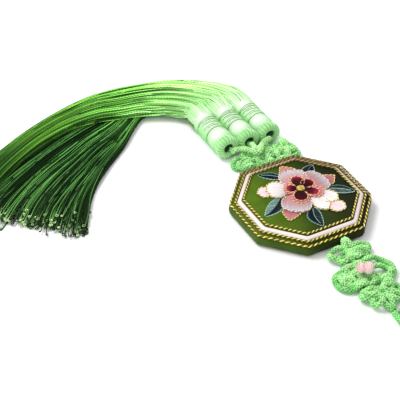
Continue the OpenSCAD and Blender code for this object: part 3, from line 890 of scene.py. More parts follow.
class NORIGAE_OT_pendant(bpy.types.Operator):
    """Make the pendant's silk, satin band and gold cords"""
    bl_idname = "norigae.pendant"
    bl_label = "Pendant"

    # The cushion's outline, from its back over its side: distance in from the
    # pendant's flats, height
    SIDE = [(3.2, 0.0), (1.6, 0.08), (0.8, 0.5), (0.3, 1.1), (0.05, 1.9),
            (-0.05, 2.8), (-0.05, 3.6), (0.1, 4.4), (0.4, 5.0), (1.0, 5.3)]

    # How far in from the flats the sloping border has a ring of points
    BORDER = (1.5, 2.2, 3.2, 4.6, 5.8, PENDANT_HALF - FIELD_R)

    # The padded field: distance in from its rim, height above it
    FIELD = [(1.0, 0.0), (2.9, 0.12), (7.4, 0.2), (13.4, 0.24), (18.4, 0.25)]

    # Heights where the border and the field begin
    BORDER_START, FIELD_START = WALL_TOP + 0.1, FIELD_Z - 0.1

    # The gold cords: distance over the flats, length of one twist
    GOLD_CORDS = {"outer": (OUTER_GOLD, 2.6), "middle": (MIDDLE_GOLD, 2.2), "inner": (INNER_GOLD, 2.1)}

    # The gold cords' two plies: the thickness that they twist in and their own
    # radius, as shares of GOLD_D, and how high the cords lie over the border
    PLIES_SHARE, PLY_SHARE, GOLD_LIFT = 0.9, 0.24, 0.1

    # How far the satin band stays from the middles of its two gold cords,
    # and how high it swells
    BAND_GAP, BAND_SWELL = 0.75, 0.55

    def execute(self, context):
        settings = context.scene.norigae_pendant
        self.cushion(settings)
        self.band(settings)
        self.gold_cords(settings)
        return {"FINISHED"}

    def cushion(self, settings):
        """The silk-covered pad with its wall, sloping border and field."""
        levels = [(PENDANT_HALF - inset, z) for inset, z in self.SIDE]
        levels += [(PENDANT_HALF - inset, border_z(PENDANT_HALF - inset) + 0.02) for inset in self.BORDER]
        levels += [(FIELD_R - inset, FIELD_Z + rise) for inset, rise in self.FIELD]
        bm = ring_stack(levels, per_side=10)
        ripple(bm, amount=0.10, size=9.0, seed=3)
        made = piece("pendant_cushion", mesh_of(bm, "pendant_cushion"), self.silk(settings),
                     "green_silk", "pendant_body")

    def silk(self, settings):
        """Green silk with painted light and shade: paler towards -X, darker towards +X, and a darker wall,
        a shaded copy; border and field have shades of their own.
        """
        def shade(nodes):
            fac = slant(nodes, 26.0, -4.0)
            # Painted light and shade: each ramp runs from lit, towards -X, to shaded, towards +X
            field = nodes.ramp(fac, [
                (0.0, (0.078, 0.15, 0.005)), (0.5, tuple(settings.field)), (1.0, (0.009, 0.012, 0.002))])
            border = nodes.ramp(fac, [
                (0.0, (0.088, 0.125, 0.006)), (0.5, tuple(settings.border)), (1.0, (0.020, 0.019, 0.003))])
            # The wall is a shaded copy of the silk: painted shade
            shaded_wall = nodes.ramp(fac, [
                (0.0, (0.055, 0.10, 0.010)), (0.5, (0.025, 0.043, 0.006)), (1.0, (0.015, 0.015, 0.003))])
            height = nodes.parts()["Z"]
            high = nodes.math("GREATER_THAN", height, self.FIELD_START * MM)
            low = nodes.math("LESS_THAN", height, self.BORDER_START * MM)
            return nodes.mix(low, nodes.mix(high, border, field), shaded_wall)
        # Its strong, large patches of uneven tone are painted reflections and shade on the silk
        return fabric("Green silk", shade, roughness=0.5, sheen=0.0, bump=0.12, stretch=(1, 12, 1),
                      scale=900.0, specular=0.08, uneven=0.3, tone_scale=75.0)

    def band(self, settings):
        """The satin band, swollen between two gold cords, with painted shade that turns it brown towards +X
        and +Y.
        """
        low, high = MIDDLE_GOLD - self.BAND_GAP, INNER_GOLD + self.BAND_GAP
        levels = [(low, border_z(low) + 0.1)]
        for k in np.linspace(0, 1, 9):
            r = low + (high - low) * k
            levels.append((r, border_z(r) + 0.12 + self.BAND_SWELL * math.sin(math.pi * k) ** 0.5))
        levels.append((high, border_z(high) + 0.1))
        bm = ring_stack(levels, per_side=10, closed=True)
        ripple(bm, amount=0.06, size=5.0, seed=5)

        def shade(nodes):
            # Painted shade: pale in front, brown towards +X and +Y
            return nodes.ramp(slant(nodes, 12.0, 14.0), [
                (0.0, (0.86, 0.77, 0.75)), (0.45, tuple(settings.band)), (1.0, (0.48, 0.37, 0.31))])
        satin = fabric("Pale satin", shade, roughness=0.32, sheen=0.1, bump=0.1,
                       stretch=(8, 8, 1), scale=500.0, uneven=0.05, coat=0.15)
        piece("satin_band_cloth", mesh_of(bm, "satin_band_cloth"), satin, "pale_satin", "satin_band")

    def gold_cords(self, settings):
        """The three gold cords of two plies, couched on the sloping border."""
        gold = self.gold(settings)
        seat = GOLD_D / 2 / math.cos(math.atan(SLOPE)) + self.GOLD_LIFT
        for name, (r, pitch) in self.GOLD_CORDS.items():
            path = octagon_path(r, border_z(r) + seat, per_side=8)
            plies = twisted(path, GOLD_D * self.PLIES_SHARE, pitch, step=0.3, closed=True)
            mesh = sweep("gold", plies, GOLD_D * self.PLY_SHARE, 6, closed=True, ply=[0.0, 1.0])
            piece("gold_cord_%s_plies" % name, mesh, gold, "gold_thread", "gold_cord_" + name)

    def gold(self, settings):
        """Gold thread with painted light: one ply bright as glints and one dark as shade, and painted shade
        that dulls it towards +X and +Y.
        """
        def glint(nodes):
            shaded_gold = nodes.ramp(slant(nodes, 6.0, 16.0), [
                (0.0, tuple(settings.gold)), (0.5, tuple(c * 0.86 for c in settings.gold)),
                (1.0, (0.42, 0.29, 0.10))])
            # The dark ply is painted shade between the glints of the bright one
            return nodes.mix(nodes.value("ply"), (0.11, 0.075, 0.004), shaded_gold)
        # Its strong uneven tone makes irregular painted glints along the cords
        return fabric("Gold thread", glint, roughness=0.42, sheen=0.0, bump=0.5, metallic=0.3,
                      uneven=0.5, specular=0.35, tone_scale=700.0, scale=2500.0)


def petal_xy(row, u, v):
    """A point of a petal, from its root at u 0 to its edge at 1, across it in
    v from -1 to 1, and how high it is padded there from 0 to 1."""
    kind, rx, ry, tx, ty, width, round_off, waves, deep, _ = row
    axis = np.array((tx - rx, ty - ry))
    left = np.array((-axis[1], axis[0])) / np.linalg.norm(axis)
    blunt = np.abs(v) ** 1.4 if kind == "bud" else 1 - np.sqrt(np.maximum(1 - v ** 2, 0))
    reach = u * (1 - round_off * blunt + deep * np.cos(waves * math.pi * v))
    half = width / 2 * (PETAL_ROOT + (1 - PETAL_ROOT) * np.sin(math.pi / 2 * np.minimum(u / PETAL_FULL, 1)))
    x = rx + axis[0] * reach + left[0] * v * half
    y = ry + axis[1] * reach + left[1] * v * half
    rise = np.sqrt(np.maximum(1 - v ** 4, 0)) * np.sqrt(np.clip(np.sin(math.pi * (0.12 + 0.86 * u)), 0, 1))
    return x, y, rise


def leaf_xy(row, u, v):
    """The same for a leaf, which is pointed and bowed."""
    rx, ry, tx, ty, width, bow = row
    axis = np.array((tx - rx, ty - ry))
    left = np.array((-axis[1], axis[0])) / np.linalg.norm(axis)
    half = width / 2 * np.sin(math.pi * np.clip(u, 0, 1) ** 0.85) ** 0.8
    off = v * half + bow * np.sin(math.pi * u)
    rise = np.sqrt(np.maximum(1 - v ** 4, 0)) * np.sqrt(np.clip(np.sin(math.pi * u), 0, 1))
    return rx + axis[0] * u + left[0] * off, ry + axis[1] * u + left[1] * off, rise


class NORIGAE_OT_embroidery(bpy.types.Operator):
    """Make the embroidered flower and its leaves, stitch by stitch"""
    bl_idname = "norigae.embroidery"
    bl_label = "Embroidery"

    # The thread round a kind's petals, the kind's slot, and the packed
    # pieces that it stands for
    KINDS = {
        "bud": ("gold", "rose_thread", "tip_petal_%d"),
        "tip": ("gold", "rose_thread", None),
        "white": ("gold", "white_thread", None),
        "lilac": ("pale", "lilac_thread", "petal_%d"),
        "rose": ("salmon", "rose_thread", None),
        "heart": ("salmon", "wine_thread", "heart_petal_%d"),
    }

    # Colours of a kind's stitches, from root to edge
    STITCH_COLOURS = {
        "bud": [(0.40, 0.07, 0.10), (0.54, 0.19, 0.21), (0.66, 0.30, 0.28)],
        "tip": [(0.80, 0.54, 0.57), (0.88, 0.72, 0.74), (0.94, 0.86, 0.86)],
        "white": [(0.70, 0.58, 0.62), (0.84, 0.80, 0.80), (0.90, 0.88, 0.84)],
        "lilac": [(0.62, 0.18, 0.22), (0.63, 0.27, 0.29), (0.60, 0.41, 0.42), (0.66, 0.67, 0.73)],
        "rose": [(0.45, 0.06, 0.10), (0.62, 0.17, 0.19), (0.70, 0.28, 0.28)],
        "heart": [(0.004, 0.001, 0.001), (0.085, 0.003, 0.008), (0.60, 0.030, 0.125)],
    }

    # Colours of the two plies of the threads round the petals: a dark one, painted shade, and a
    # bright one, painted glints, so that the twist shows as dots
    EDGES = {
        "gold": ((0.36, 0.20, 0.02), (1.0, 0.88, 0.36)),
        "pale": ((0.50, 0.30, 0.30), (1.0, 0.90, 0.74)),
        "salmon": ((0.50, 0.12, 0.09), (1.0, 0.66, 0.40)),
    }

    # How far each heart petal's stitches brighten towards its edge
    HEART_GLOW = (0.82, 0.76, 0.95, 0.55, 1.0)

    # How pale each leaf's two sides are, by leaf and side
    PALE_SIDES = {(1, -1): 0.5, (2, -1): 0.3, (2, 1): 0.12, (0, -1): 0.1, (3, 1): 0.12}

    # Colours of the leaves' stitches from rib to edge, of their palest
    # stitches, and how much of that each shade of stitch takes
    LEAF_COLOURS = [(0.0, (0.001, 0.003, 0.008)), (0.5, (0.002, 0.005, 0.010)),
                    (0.8, (0.004, 0.018, 0.024)), (1.0, (0.06, 0.19, 0.17))]
    LEAF_PALE = (0.42, 0.66, 0.58)
    LEAF_SHARES = [(0.0, (0.0, 0.0, 0.0)), (0.5, (0.02, 0.02, 0.02)), (0.75, (0.4, 0.4, 0.4)),
                   (1.0, (1.0, 1.0, 1.0))]

    # How far each leaf's stitches brighten towards its edge
    LEAF_GLOW = (1.0, 1.0, 1.0, 1.0, 0.8)

    # Distances between stitches, and how high they swell over their pads
    PETAL_GAP, PETAL_SWELL = 0.30, 0.42
    LEAF_GAP, LEAF_SWELL = 0.34, 0.36

    # Heights of the lowest petals and of the leaves over the field, and of
    # the threads round petals, round leaves and on ribs over their own base
    PETAL_LIFT, LEAF_LIFT = 0.20, 0.22
    EDGE_LIFT, RIM_LIFT, RIB_LIFT = 0.30, 0.12, 0.10

    # How far a pad's rim lies under its base, how high the pad swells, and how
    # high its skirt ends over the field
    PAD_SINK, PAD_SWELL, PAD_FOOT = 0.12, 0.40, 0.02

    # The twisted threads round petals and leaves, and the radius of a ply
    PETAL_THREAD, PETAL_PLY_R = {"d": 0.62, "pitch": 1.9, "step": 0.24}, 0.20
    LEAF_THREAD, LEAF_PLY_R = {"d": 0.4, "pitch": 1.6, "step": 0.25}, 0.14

    # The eye's middle, its mound's radius and height, and its rings of knots:
    # distance, knots
    EYE = (1.7, 3.0)
    EYE_R, EYE_H = 1.9, 0.665
    EYE_RINGS = ((0.0, 1), (0.75, 6), (1.45, 11))

    # A knot's radius and its thread's, its height at the eye's middle, and how
    # that falls with the distance
    KNOT_R, KNOT_THREAD_R, KNOT_TOP, KNOT_FALL = 0.22, 0.18, 0.62, 0.12

    def execute(self, context):
        for kind in self.KINDS:
            self.petals(kind)
        self.leaves()
        self.eye()
        return {"FINISHED"}

    def petals(self, kind):
        """All petals of one kind: their pads, stitches and edge thread."""
        edge, slot, nodes = self.KINDS[kind]
        colours = self.STITCH_COLOURS[kind]
        pads, stitches, along, tints, plies = [], [], [], [], []
        for number, row in enumerate(row for row in PETALS if row[0] == kind):
            base = FIELD_Z + self.PETAL_LIFT + row[9] * LAYER_STEP
            pads.append((row, base))
            lines, shares = self.petal_stitches(row, base)
            stitches += lines
            glow = self.HEART_GLOW[number] if kind == "heart" else 1.0
            along += [share * glow for share in shares]
            tints += [varied(i) for i in range(len(lines))]
            plies += twisted(self.petal_edge(row, base), **self.PETAL_THREAD)
        stands_for = [nodes % i for i in range(1, 6)] if nodes else []
        piece("%s_petals_pads" % kind, self.pads(kind, pads, petal_xy),
              self.pad_material(kind, colours[1]), slot, *stands_for)
        mesh = sweep("stitches", stitches, STITCH_R, 4, along=along, strand=tints)
        piece("%s_petals_stitches" % kind, mesh, self.stitch_material(kind, colours), slot)
        mesh = sweep("edge", plies, self.PETAL_PLY_R, 4, ply=[i % 2 for i in range(len(plies))])
        piece("%s_petals_edges" % kind, mesh, self.edge_material(edge), "gold_thread")

    def pad_material(self, name, colour):
        """The dull ground under stitches."""
        return fabric("Pad %s" % name, colour, roughness=0.6, sheen=0.0, specular=0.1)

    def edge_material(self, edge):
        """The thread round petals, one ply painted dark as shade and one bright as glints, the gold one
        partly of metal.
        """
        name = "Edge thread " + edge
        made = bpy.data.materials.get(name)
        return made or fabric(name, between(*self.EDGES[edge], "ply"), roughness=0.35, bump=0.2,
                              sheen=0.1, metallic=0.35 if edge == "gold" else 0.0)

    def stitch_material(self, kind, colours):
        """Stitches shaded from root to edge, and a little from thread to thread."""
        dark = kind == "heart"
        streaks = 1.1 if dark else 0.3

        def shade(nodes):
            base = nodes.ramp(nodes.value("along"), [
                (i / (len(colours) - 1), colour) for i, colour in enumerate(colours)])
            gain = nodes.math("ADD", nodes.math("MULTIPLY", nodes.value("strand"), streaks),
                              1.0 - streaks / 2)
            return nodes.bright(base, gain)
        return fabric("Stitches %s" % kind, shade, roughness=0.5 if dark else 0.36,
                      sheen=0.0 if dark else 0.2, bump=0.15, uneven=0.04,
                      specular=0.12 if dark else 0.4)

    def petal_stitches(self, row, base):
        """The lines of a petal's stitches, and how far out their points lie."""
        count = max(int(row[5] / self.PETAL_GAP), 8)
        lines, shares = [], []
        for i in range(count):
            v = -1 + 2 * (i + 0.5) / count
            jitter = 0.03 * math.sin(i * 7.3)
            u = np.linspace(0.02 + abs(jitter), 0.985 + jitter * 0.4, 9)
            x, y, rise = petal_xy(row, u, np.full(9, v))
            lines.append(points_at(x, y, base + 0.02 + rise * self.PETAL_SWELL))
            shares.append(u)
        return lines, shares

    def petal_edge(self, row, base):
        """The line of the thread round a petal, up one side and down the other."""
        u = np.linspace(0.15, 0.98, 8)
        sides = [petal_xy(row, u, np.full(8, -0.99)),
                 petal_xy(row, np.full(17, 1.0), np.linspace(-0.96, 0.96, 17)),
                 petal_xy(row, u[::-1], np.full(8, 0.99))]
        return np.concatenate([points_at(x, y, base + self.EDGE_LIFT) for x, y, _ in sides])

    def pads(self, name, rows, shape, grid=12):
        """Padded grounds under the stitches, which reach down to the field."""
        bm = bmesh.new()
        for row, base in rows:
            made = bmesh.ops.create_grid(bm, x_segments=grid, y_segments=grid, size=1.0)
            verts = made["verts"]
            for v in verts:
                across, along = v.co.x, (v.co.y + 1) / 2
                x, y, rise = shape(row, np.array([along]), np.array([across * 0.98]))
                z = base - self.PAD_SINK + self.PAD_SWELL * float(rise[0])
                v.co = Vector((float(x[0]), float(y[0]), z)) * MM
            rim = [e for v in verts for e in v.link_edges if e.is_boundary]
            skirt = bmesh.ops.extrude_edge_only(bm, edges=list(set(rim)))["geom"]
            for v in skirt:
                if isinstance(v, bmesh.types.BMVert):
                    v.co.z = (FIELD_Z + self.PAD_FOOT) * MM
        bmesh.ops.recalc_face_normals(bm, faces=bm.faces)
        return mesh_of(bm, name)

    def leaves(self):
        """The five leaves: their pads, slanting stitches, rims and ribs."""
        base = FIELD_Z + self.LEAF_LIFT
        pads = self.pads("leaves", [(row, base - 0.05) for row in LEAVES], leaf_xy)
        piece("leaf_pads", pads, self.pad_material("leaf", (0.01, 0.025, 0.03)),
              "leaf_thread", *["leaf_%d" % i for i in range(1, 6)])
        lines, along, tints, rims = [], [], [], []
        for number, row in enumerate(LEAVES):
            for way in (-1, 1):
                pale = self.PALE_SIDES.get((number, way), 0.0)
                for i, (line, v) in enumerate(self.leaf_stitches(row, base, way)):
                    lines.append(line)
                    along.append(v * self.LEAF_GLOW[number])
                    tints.append(varied(i) * 0.5 + pale)
            rims += self.leaf_rims(row, base)
        mesh = sweep("stitches", lines, STITCH_R, 4, along=along, strand=tints)
        piece("leaf_stitches", mesh, self.leaf_material(), "leaf_thread")
        mesh = sweep("rims", rims, self.LEAF_PLY_R, 4, ply=[i % 3 / 2 for i in range(len(rims))])
        piece("leaf_rims", mesh, fabric(
            "Leaf rim thread", between((0.06, 0.24, 0.22), (0.62, 0.86, 0.76), "ply"),
            roughness=0.4), "leaf_thread")

    def leaf_stitches(self, row, base, way):
        """The lines of the stitches on one side of a leaf, and how far out
        their points lie."""
        count = int(math.hypot(row[2] - row[0], row[3] - row[1]) / self.LEAF_GAP)
        v = np.linspace(0.04, 0.97, 6)
        for i in range(count):
            start = (i + 0.5) / count * 0.86
            u = np.linspace(start, min(start + 0.16, 0.995), 6)
            x, y, rise = leaf_xy(row, u, v * way)
            yield points_at(x, y, base + rise * self.LEAF_SWELL), v

    def leaf_rims(self, row, base):
        """The twisted threads down a leaf's two sides, and the one on its rib."""
        u = np.linspace(0.02, 0.99, 16)
        rims = []
        for way in (-1.0, 1.0):
            x, y, _ = leaf_xy(row, u, np.full(16, way))
            rims += twisted(points_at(x, y, base + self.RIM_LIFT), **self.LEAF_THREAD)
        x, y, rise = leaf_xy(row, u[1:-2], np.zeros(13))
        return rims + [points_at(x, y, base + self.RIB_LIFT + rise * self.LEAF_SWELL)]

    def leaf_material(self):
        """Nearly black stitches with teal edges, and pale ones among them."""
        def shade(nodes):
            base = nodes.ramp(nodes.value("along"), self.LEAF_COLOURS)
            return nodes.mix(nodes.ramp(nodes.value("strand"), self.LEAF_SHARES), base, self.LEAF_PALE)
        return fabric("Stitches leaf", shade, roughness=0.4, sheen=0.0, specular=0.1)

    def eye(self):
        """The flower's eye: a low mound with rings of small knots."""
        x, y = self.EYE
        z = FIELD_Z + self.PETAL_LIFT + 5 * LAYER_STEP
        bm = bmesh.new()
        bmesh.ops.create_uvsphere(bm, u_segments=24, v_segments=12, radius=self.EYE_R * MM)
        bmesh.ops.scale(bm, verts=bm.verts, vec=(1, 1, self.EYE_H / self.EYE_R))
        put(bm, (x, y, z))
        gold = fabric("Eye gold", (0.58, 0.37, 0.03), roughness=0.45, sheen=0.2, uneven=0.2,
                      tone_scale=900.0)
        piece("flower_eye_pad", mesh_of(bm, "flower_eye_pad"), gold, "gold_thread", "flower_eye")
        knots = []
        t = once_round(8)
        for ring, count in self.EYE_RINGS:
            for i in range(count):
                at = 2 * math.pi * i / count + ring
                knots.append(points_at(x + ring * math.cos(at) + self.KNOT_R * np.cos(t),
                                       y + ring * math.sin(at) + self.KNOT_R * np.sin(t),
                                       z + self.KNOT_TOP - self.KNOT_FALL * ring ** 2))
        mesh = sweep("knots", knots, self.KNOT_THREAD_R, 6, closed=True,
                     strand=[varied(i) for i in range(len(knots))])
        piece("flower_eye_knots", mesh, fabric(
            "Eye knots", between((0.34, 0.19, 0.01), (0.98, 0.76, 0.16)), roughness=0.4), "gold_thread")


class NORIGAE_OT_heads(bpy.types.Operator):
    """Make the wound heads of the tassels"""
    bl_idname = "norigae.heads"
    bl_label = "Tassel heads"

    # The core's radius as a share of the head's
    BODY_SHARE = 0.965

    # Radii of the coil's, the ribs' and the ties' threads, and how far their
    # middles lie in from or out of the head's own radius
    COIL_R, RIB_R, TIE_R = 0.20, 0.34, 0.13
    COIL_SINK, TIE_LIFT = 0.08, 0.10

    # The coil's pitch, where it starts and ends as shares of the head's
    # length, and the stretch of the profile under it
    COIL_PITCH = 0.36
    COIL_START, COIL_END = 0.13, 0.79
    COIL_PROFILE = HEAD_PROFILE[9:24]

    # The ribs of the ringed lip, and the stretch of the profile under them
    RIBS = 40
    LIP_PROFILE = HEAD_PROFILE[1:10]

    # The hollow at the lip, a near-black filling that is painted shade in
    # the hole: radius as a share of HEAD_D, depth, and how far in its
    # middle lies
    HOLLOW_SHARE, HOLLOW_DEPTH, HOLLOW_IN = 0.225, 4.6, 3.6

    # Ties wound round a head, two level ones first: place along it as a share
    # of its length, start and end in radians, lean
    TIES = (
        (0.387, -0.4, 3.5, 0.0), (0.665, 0.0, 3.5, 0.0), (0.435, 1.2, 2.3, 0.5),
        (0.475, 1.5, 2.7, 0.4), (0.515, 1.0, 2.2, 0.5), (0.555, 1.6, 2.6, 0.5),
        (0.590, 1.1, 2.4, 0.4), (0.625, 1.5, 2.9, 0.3),
    )

    # The lit side of the coil in radians, and its paler rings, painted highlights on the
    # head's two bulbs: place and width as shares of the head's length, gain
    LIT_SIDE = 1.95
    PALE_RINGS = ((0.26, 0.07, 0.16), (0.72, 0.05, 0.10))

    # Colours of the coil's thread, from its shaded to its lit side
    COIL_COLOURS = [
        (0.0, (0.08, 0.70, 0.08)), (0.3, (0.20, 0.80, 0.17)), (0.6, (0.38, 0.84, 0.31)),
        (0.85, (0.60, 0.90, 0.53)), (1.0, (0.84, 0.96, 0.80)),
    ]

    def execute(self, context):
        wound = fabric("Wound head silk", (0.30, 0.66, 0.26), roughness=0.36, sheen=0.35, bump=0.2,
                       stretch=(1, 10, 1), scale=700.0, uneven=0.05)
        thread = fabric("Wound head thread", lambda nodes: nodes.ramp(
            nodes.value("glow"), self.COIL_COLOURS),
            roughness=0.3, sheen=0.0, bump=0.1, coat=0.1, specular=0.35)
        rib = fabric("Head lip thread", between((0.22, 0.72, 0.18), (0.68, 0.94, 0.58)),
                     roughness=0.32, sheen=0.0, bump=0.15, specular=0.3)
        tie = fabric("Head tie thread", between((0.03, 0.06, 0.03), (0.14, 0.30, 0.11)), roughness=0.5)
        # Painted shade: a near-black filling for the shade inside the lip's hole
        dark = fabric("Head hollow", (0.012, 0.05, 0.015), roughness=0.8, specular=0.1)
        for i in range(3):
            middle = (TASSEL_X + (i - 1) * HEAD_D, HEAD_Y, HEAD_D / 2)
            for part, mesh, material in (
                    ("core", self.core(middle), wound), ("coil", self.coil(middle), thread),
                    ("lip", self.lip(middle), rib), ("ties", self.ties(middle), tie),
                    ("shaded_hollow", self.shaded_hollow(middle), dark)):
                piece("head_%d_%s" % (i + 1, part), mesh, material, "mint_cord")
        return {"FINISHED"}

    def core(self, middle):
        """The closed body that the threads are wound on."""
        outline = [(r * HEAD_D / 2 * self.BODY_SHARE, y * HEAD_L) for r, y in HEAD_PROFILE]
        bm = spun([(0, outline[0][1]), *outline], (0, 1, 0), 40)
        bmesh.ops.remove_doubles(bm, verts=bm.verts, dist=1e-6)
        bmesh.ops.recalc_face_normals(bm, faces=bm.faces)
        put(bm, middle)
        return mesh_of(bm, "head_core")

    def shaded_hollow(self, middle):
        """The near-black filling of the lip, painted shade that shows as a hole round the cord."""
        bm = bmesh.new()
        bmesh.ops.create_cone(bm, cap_ends=True, segments=24, radius1=HEAD_D * self.HOLLOW_SHARE * MM,
                              radius2=HEAD_D * self.HOLLOW_SHARE * MM, depth=self.HOLLOW_DEPTH * MM)
        put(bm, (middle[0], middle[1] + self.HOLLOW_IN, middle[2]), math.pi / 2, "X")
        return mesh_of(bm, "shaded_hollow")

    def radius(self, y):
        """The radius of the wound part at a place along the head."""
        places = [share * HEAD_L for _, share in self.COIL_PROFILE]
        return np.interp(y, places, [r * HEAD_D / 2 for r, _ in self.COIL_PROFILE])

    def coil(self, middle):
        """One thread wound from the lip to the skirt, with painted light along its top and painted
        highlights on its bulbs.
        """
        turns = (self.COIL_END - self.COIL_START) * HEAD_L / self.COIL_PITCH
        t = np.linspace(0, 2 * math.pi * turns, int(turns * 22))
        y = self.COIL_START * HEAD_L + t / (2 * math.pi) * self.COIL_PITCH
        r = self.radius(y) - self.COIL_SINK
        path = points_at(r * np.cos(t), y, r * np.sin(t)) + middle
        share = y / HEAD_L
        glow = 0.42 + 0.50 * np.cos(t - self.LIT_SIDE) + 0.05 * np.sin(t / (2 * math.pi) * 1.7)
        for place, width, gain in self.PALE_RINGS:
            glow += gain * np.exp(-((share - place) / width) ** 2)
        return sweep("coil", [path], self.COIL_R, 4, glow=[np.clip(glow, 0, 1)])

    def lip(self, middle):
        """The ribs over the rounded rim at the head's cord end, every other one painted paler as a
        highlight.
        """
        ribs, shades = [], []
        ring = smooth_path([(r * HEAD_D / 2, y * HEAD_L, 0) for r, y in self.LIP_PROFILE], 2)
        for k in range(self.RIBS):
            at = 2 * math.pi * k / self.RIBS
            r, y = ring[:, 0], ring[:, 1]
            ribs.append(points_at(r * math.cos(at), y, r * math.sin(at)) + middle)
            # Every other rib paler: painted highlights on the lip, with a little random tone
            shades.append((k % 2) * 0.7 + 0.3 * varied(k))
        return sweep("ribs", ribs, self.RIB_R, 4, strand=shades)

    def ties(self, middle):
        """The dark threads tied round the head, and the stitches between them."""
        rings, shades = [], []
        for k, (place, start, end, lean) in enumerate(self.TIES):
            t = np.linspace(start, end, 24)
            r = self.radius(place * HEAD_L) + self.TIE_LIFT
            y = place * HEAD_L + lean * (t - start)
            rings.append(points_at(r * np.cos(t), y, r * np.sin(t)) + middle)
            shades.append(0.0 if k < 2 else 0.55 + 0.2 * (k % 2))
        return sweep("ties", rings, self.TIE_R, 6, strand=shades)


class NORIGAE_OT_threads(bpy.types.Operator):
    """Make the tassels' threads, in an upper and a lower layer"""
    bl_idname = "norigae.threads"
    bl_label = "Tassel threads"

    # A layer's sections, span of heights at the heads' ends as shares of the
    # radius, thickness of its threads as a share, clumps in each tassel,
    # spread of the threads, roll of the bundle, and streaks of shade: threads
    # made lighter and darker in streaks, painted light and shade between the clumps
    LAYERS = {
        "top": (TOP_LAYER, (-0.1, 1.0), 1.0, 13, 0.06, 0.38, 0.30),
        "under": (UNDER_LAYER, (-1.0, -0.2), 0.76, 17, 0.085, 0.03, 0.10),
    }

    # Colours from the heads to the threads' ends, the threads' own dye; the under layer's
    # are darker, partly its own tone and partly painted shade under the top layer
    COLOURS = {
        "top": [
            (0.0, (0.76, 0.94, 0.70)), (0.035, (0.60, 0.91, 0.50)), (0.08, (0.44, 0.86, 0.31)),
            (0.17, (0.34, 0.76, 0.19)), (0.32, (0.13, 0.41, 0.052)), (0.55, (0.075, 0.235, 0.018)),
            (0.78, (0.024, 0.10, 0.008)), (0.97, (0.022, 0.09, 0.008)), (1.0, (0.13, 0.24, 0.075))],
        "under": [
            (0.0, (0.16, 0.42, 0.09)), (0.30, (0.035, 0.15, 0.016)), (0.60, (0.015, 0.075, 0.009)),
            (0.96, (0.015, 0.065, 0.008)), (1.0, (0.085, 0.18, 0.05))],
    }

    # Shades that multiply those colours, from the darkest thread to the
    # palest, and their gain: partly each thread's own tone, and partly painted
    # light, the darkest as shade in the gaps between threads, the palest as highlights
    SHADES = {
        "top": [
            (0.0, (0.02, 0.035, 0.02)), (0.3, (0.08, 0.10, 0.08)), (0.6, (0.24, 0.25, 0.24)),
            (0.8, (0.46, 0.42, 0.50)), (1.0, (0.80, 0.68, 0.86))],
        "under": [
            (0.0, (0.006, 0.019, 0.006)), (0.4, (0.02, 0.03, 0.02)), (0.66, (0.06, 0.062, 0.06)),
            (0.76, (0.28, 0.20, 0.29)), (0.90, (0.82, 0.54, 0.92))],
    }
    GAINS = {"top": 4.2, "under": 11.2}

    # Where threads leave a head: distance from its end, and share of its
    # section that they fill there
    ROOTS = ((-8.4, 0.88), (-6.4, 1.01), (-3.2, 1.07), (0.5, 1.0))

    # That section's half width and its radius, as shares of HEAD_D
    ROOT_HALF, ROOT_R = 0.47, 0.48

    # How much of the way threads draw to their clump's middle, how far they
    # drift on their run and from their start, and how much they rise and fall
    GATHER, DRIFT, START_DRIFT, RISE_DRIFT = 0.55, 0.4, 0.9, 0.25

    # How much is cut off a thread: on average, more or less from tuft to tuft,
    # and at most from thread to thread
    CUT, TUFT_CUT, THREAD_CUT = 3.2, 2.2, 6.0

    # The notch by the inner tuft: place and width as shares of the bundle, and
    # depth. The tuft's edge as such a share, and how much longer the tuft is
    NOTCH_AT, NOTCH_W, NOTCH_DEPTH = 0.10, 0.012, 9.0
    TUFT_EDGE, TUFT_EXTRA = 0.085, 3.0

    # The share of threads that are longer than the rest, and by how much
    LONG_SHARE, LONG_EXTRA = 0.025, 3.5

    # The curl at a thread's end: its least radius, how much more that may be,
    # and where it starts and ends in radians
    CURL_R, CURL_MORE, CURL_SPAN = 0.35, 0.3, (0.6, 5.4)

    # How far threads stay over the floor
    THREAD_GAP = 0.05

    def execute(self, context):
        settings = context.scene.norigae_tassels
        rng = np.random.default_rng(settings.seed)
        counts = {"top": settings.top_count, "under": settings.under_count}
        materials = {label: self.material(label) for label in self.LAYERS}
        for tassel in range(3):
            for label, (*_, streaks) in self.LAYERS.items():
                thick = settings.thread / MM
                paths, along = self.layer(rng, label, tassel, counts[label], thick)
                number = np.arange(len(paths))
                # Each thread's shade: partly its own tone, and partly painted light and shade, in streaks
                wave = np.sin(number * 0.83 + tassel) * np.sin(number * 0.31)
                tints = np.clip(0.5 + streaks * wave + 1.05 * (rng.random(len(paths)) - 0.5), 0, 1)
                mesh = sweep("threads", paths, thick * self.LAYERS[label][2] / 2, 4, along=along,
                             strand=list(tints))
                nodes = ["tassel_%d" % (tassel + 1)] if label == "top" else []
                piece("tassel_%d_threads_%s" % (tassel + 1, label), mesh, materials[label],
                      "tassel_thread", *nodes)
        return {"FINISHED"}

    def material(self, label):
        """Silk thread, pale at the heads, with painted glints along its twist, and a
        shade for each thread, partly its own and partly painted light: dark for gaps, pale for highlights."""
        gain = self.GAINS[label]

        def shade(nodes):
            base = nodes.ramp(nodes.value("along"), self.COLOURS[label])
            turn = nodes.math("ADD", nodes.math("MULTIPLY", nodes.value("along"), 690.0),
                              nodes.math("MULTIPLY", nodes.value("strand"), 40.0))
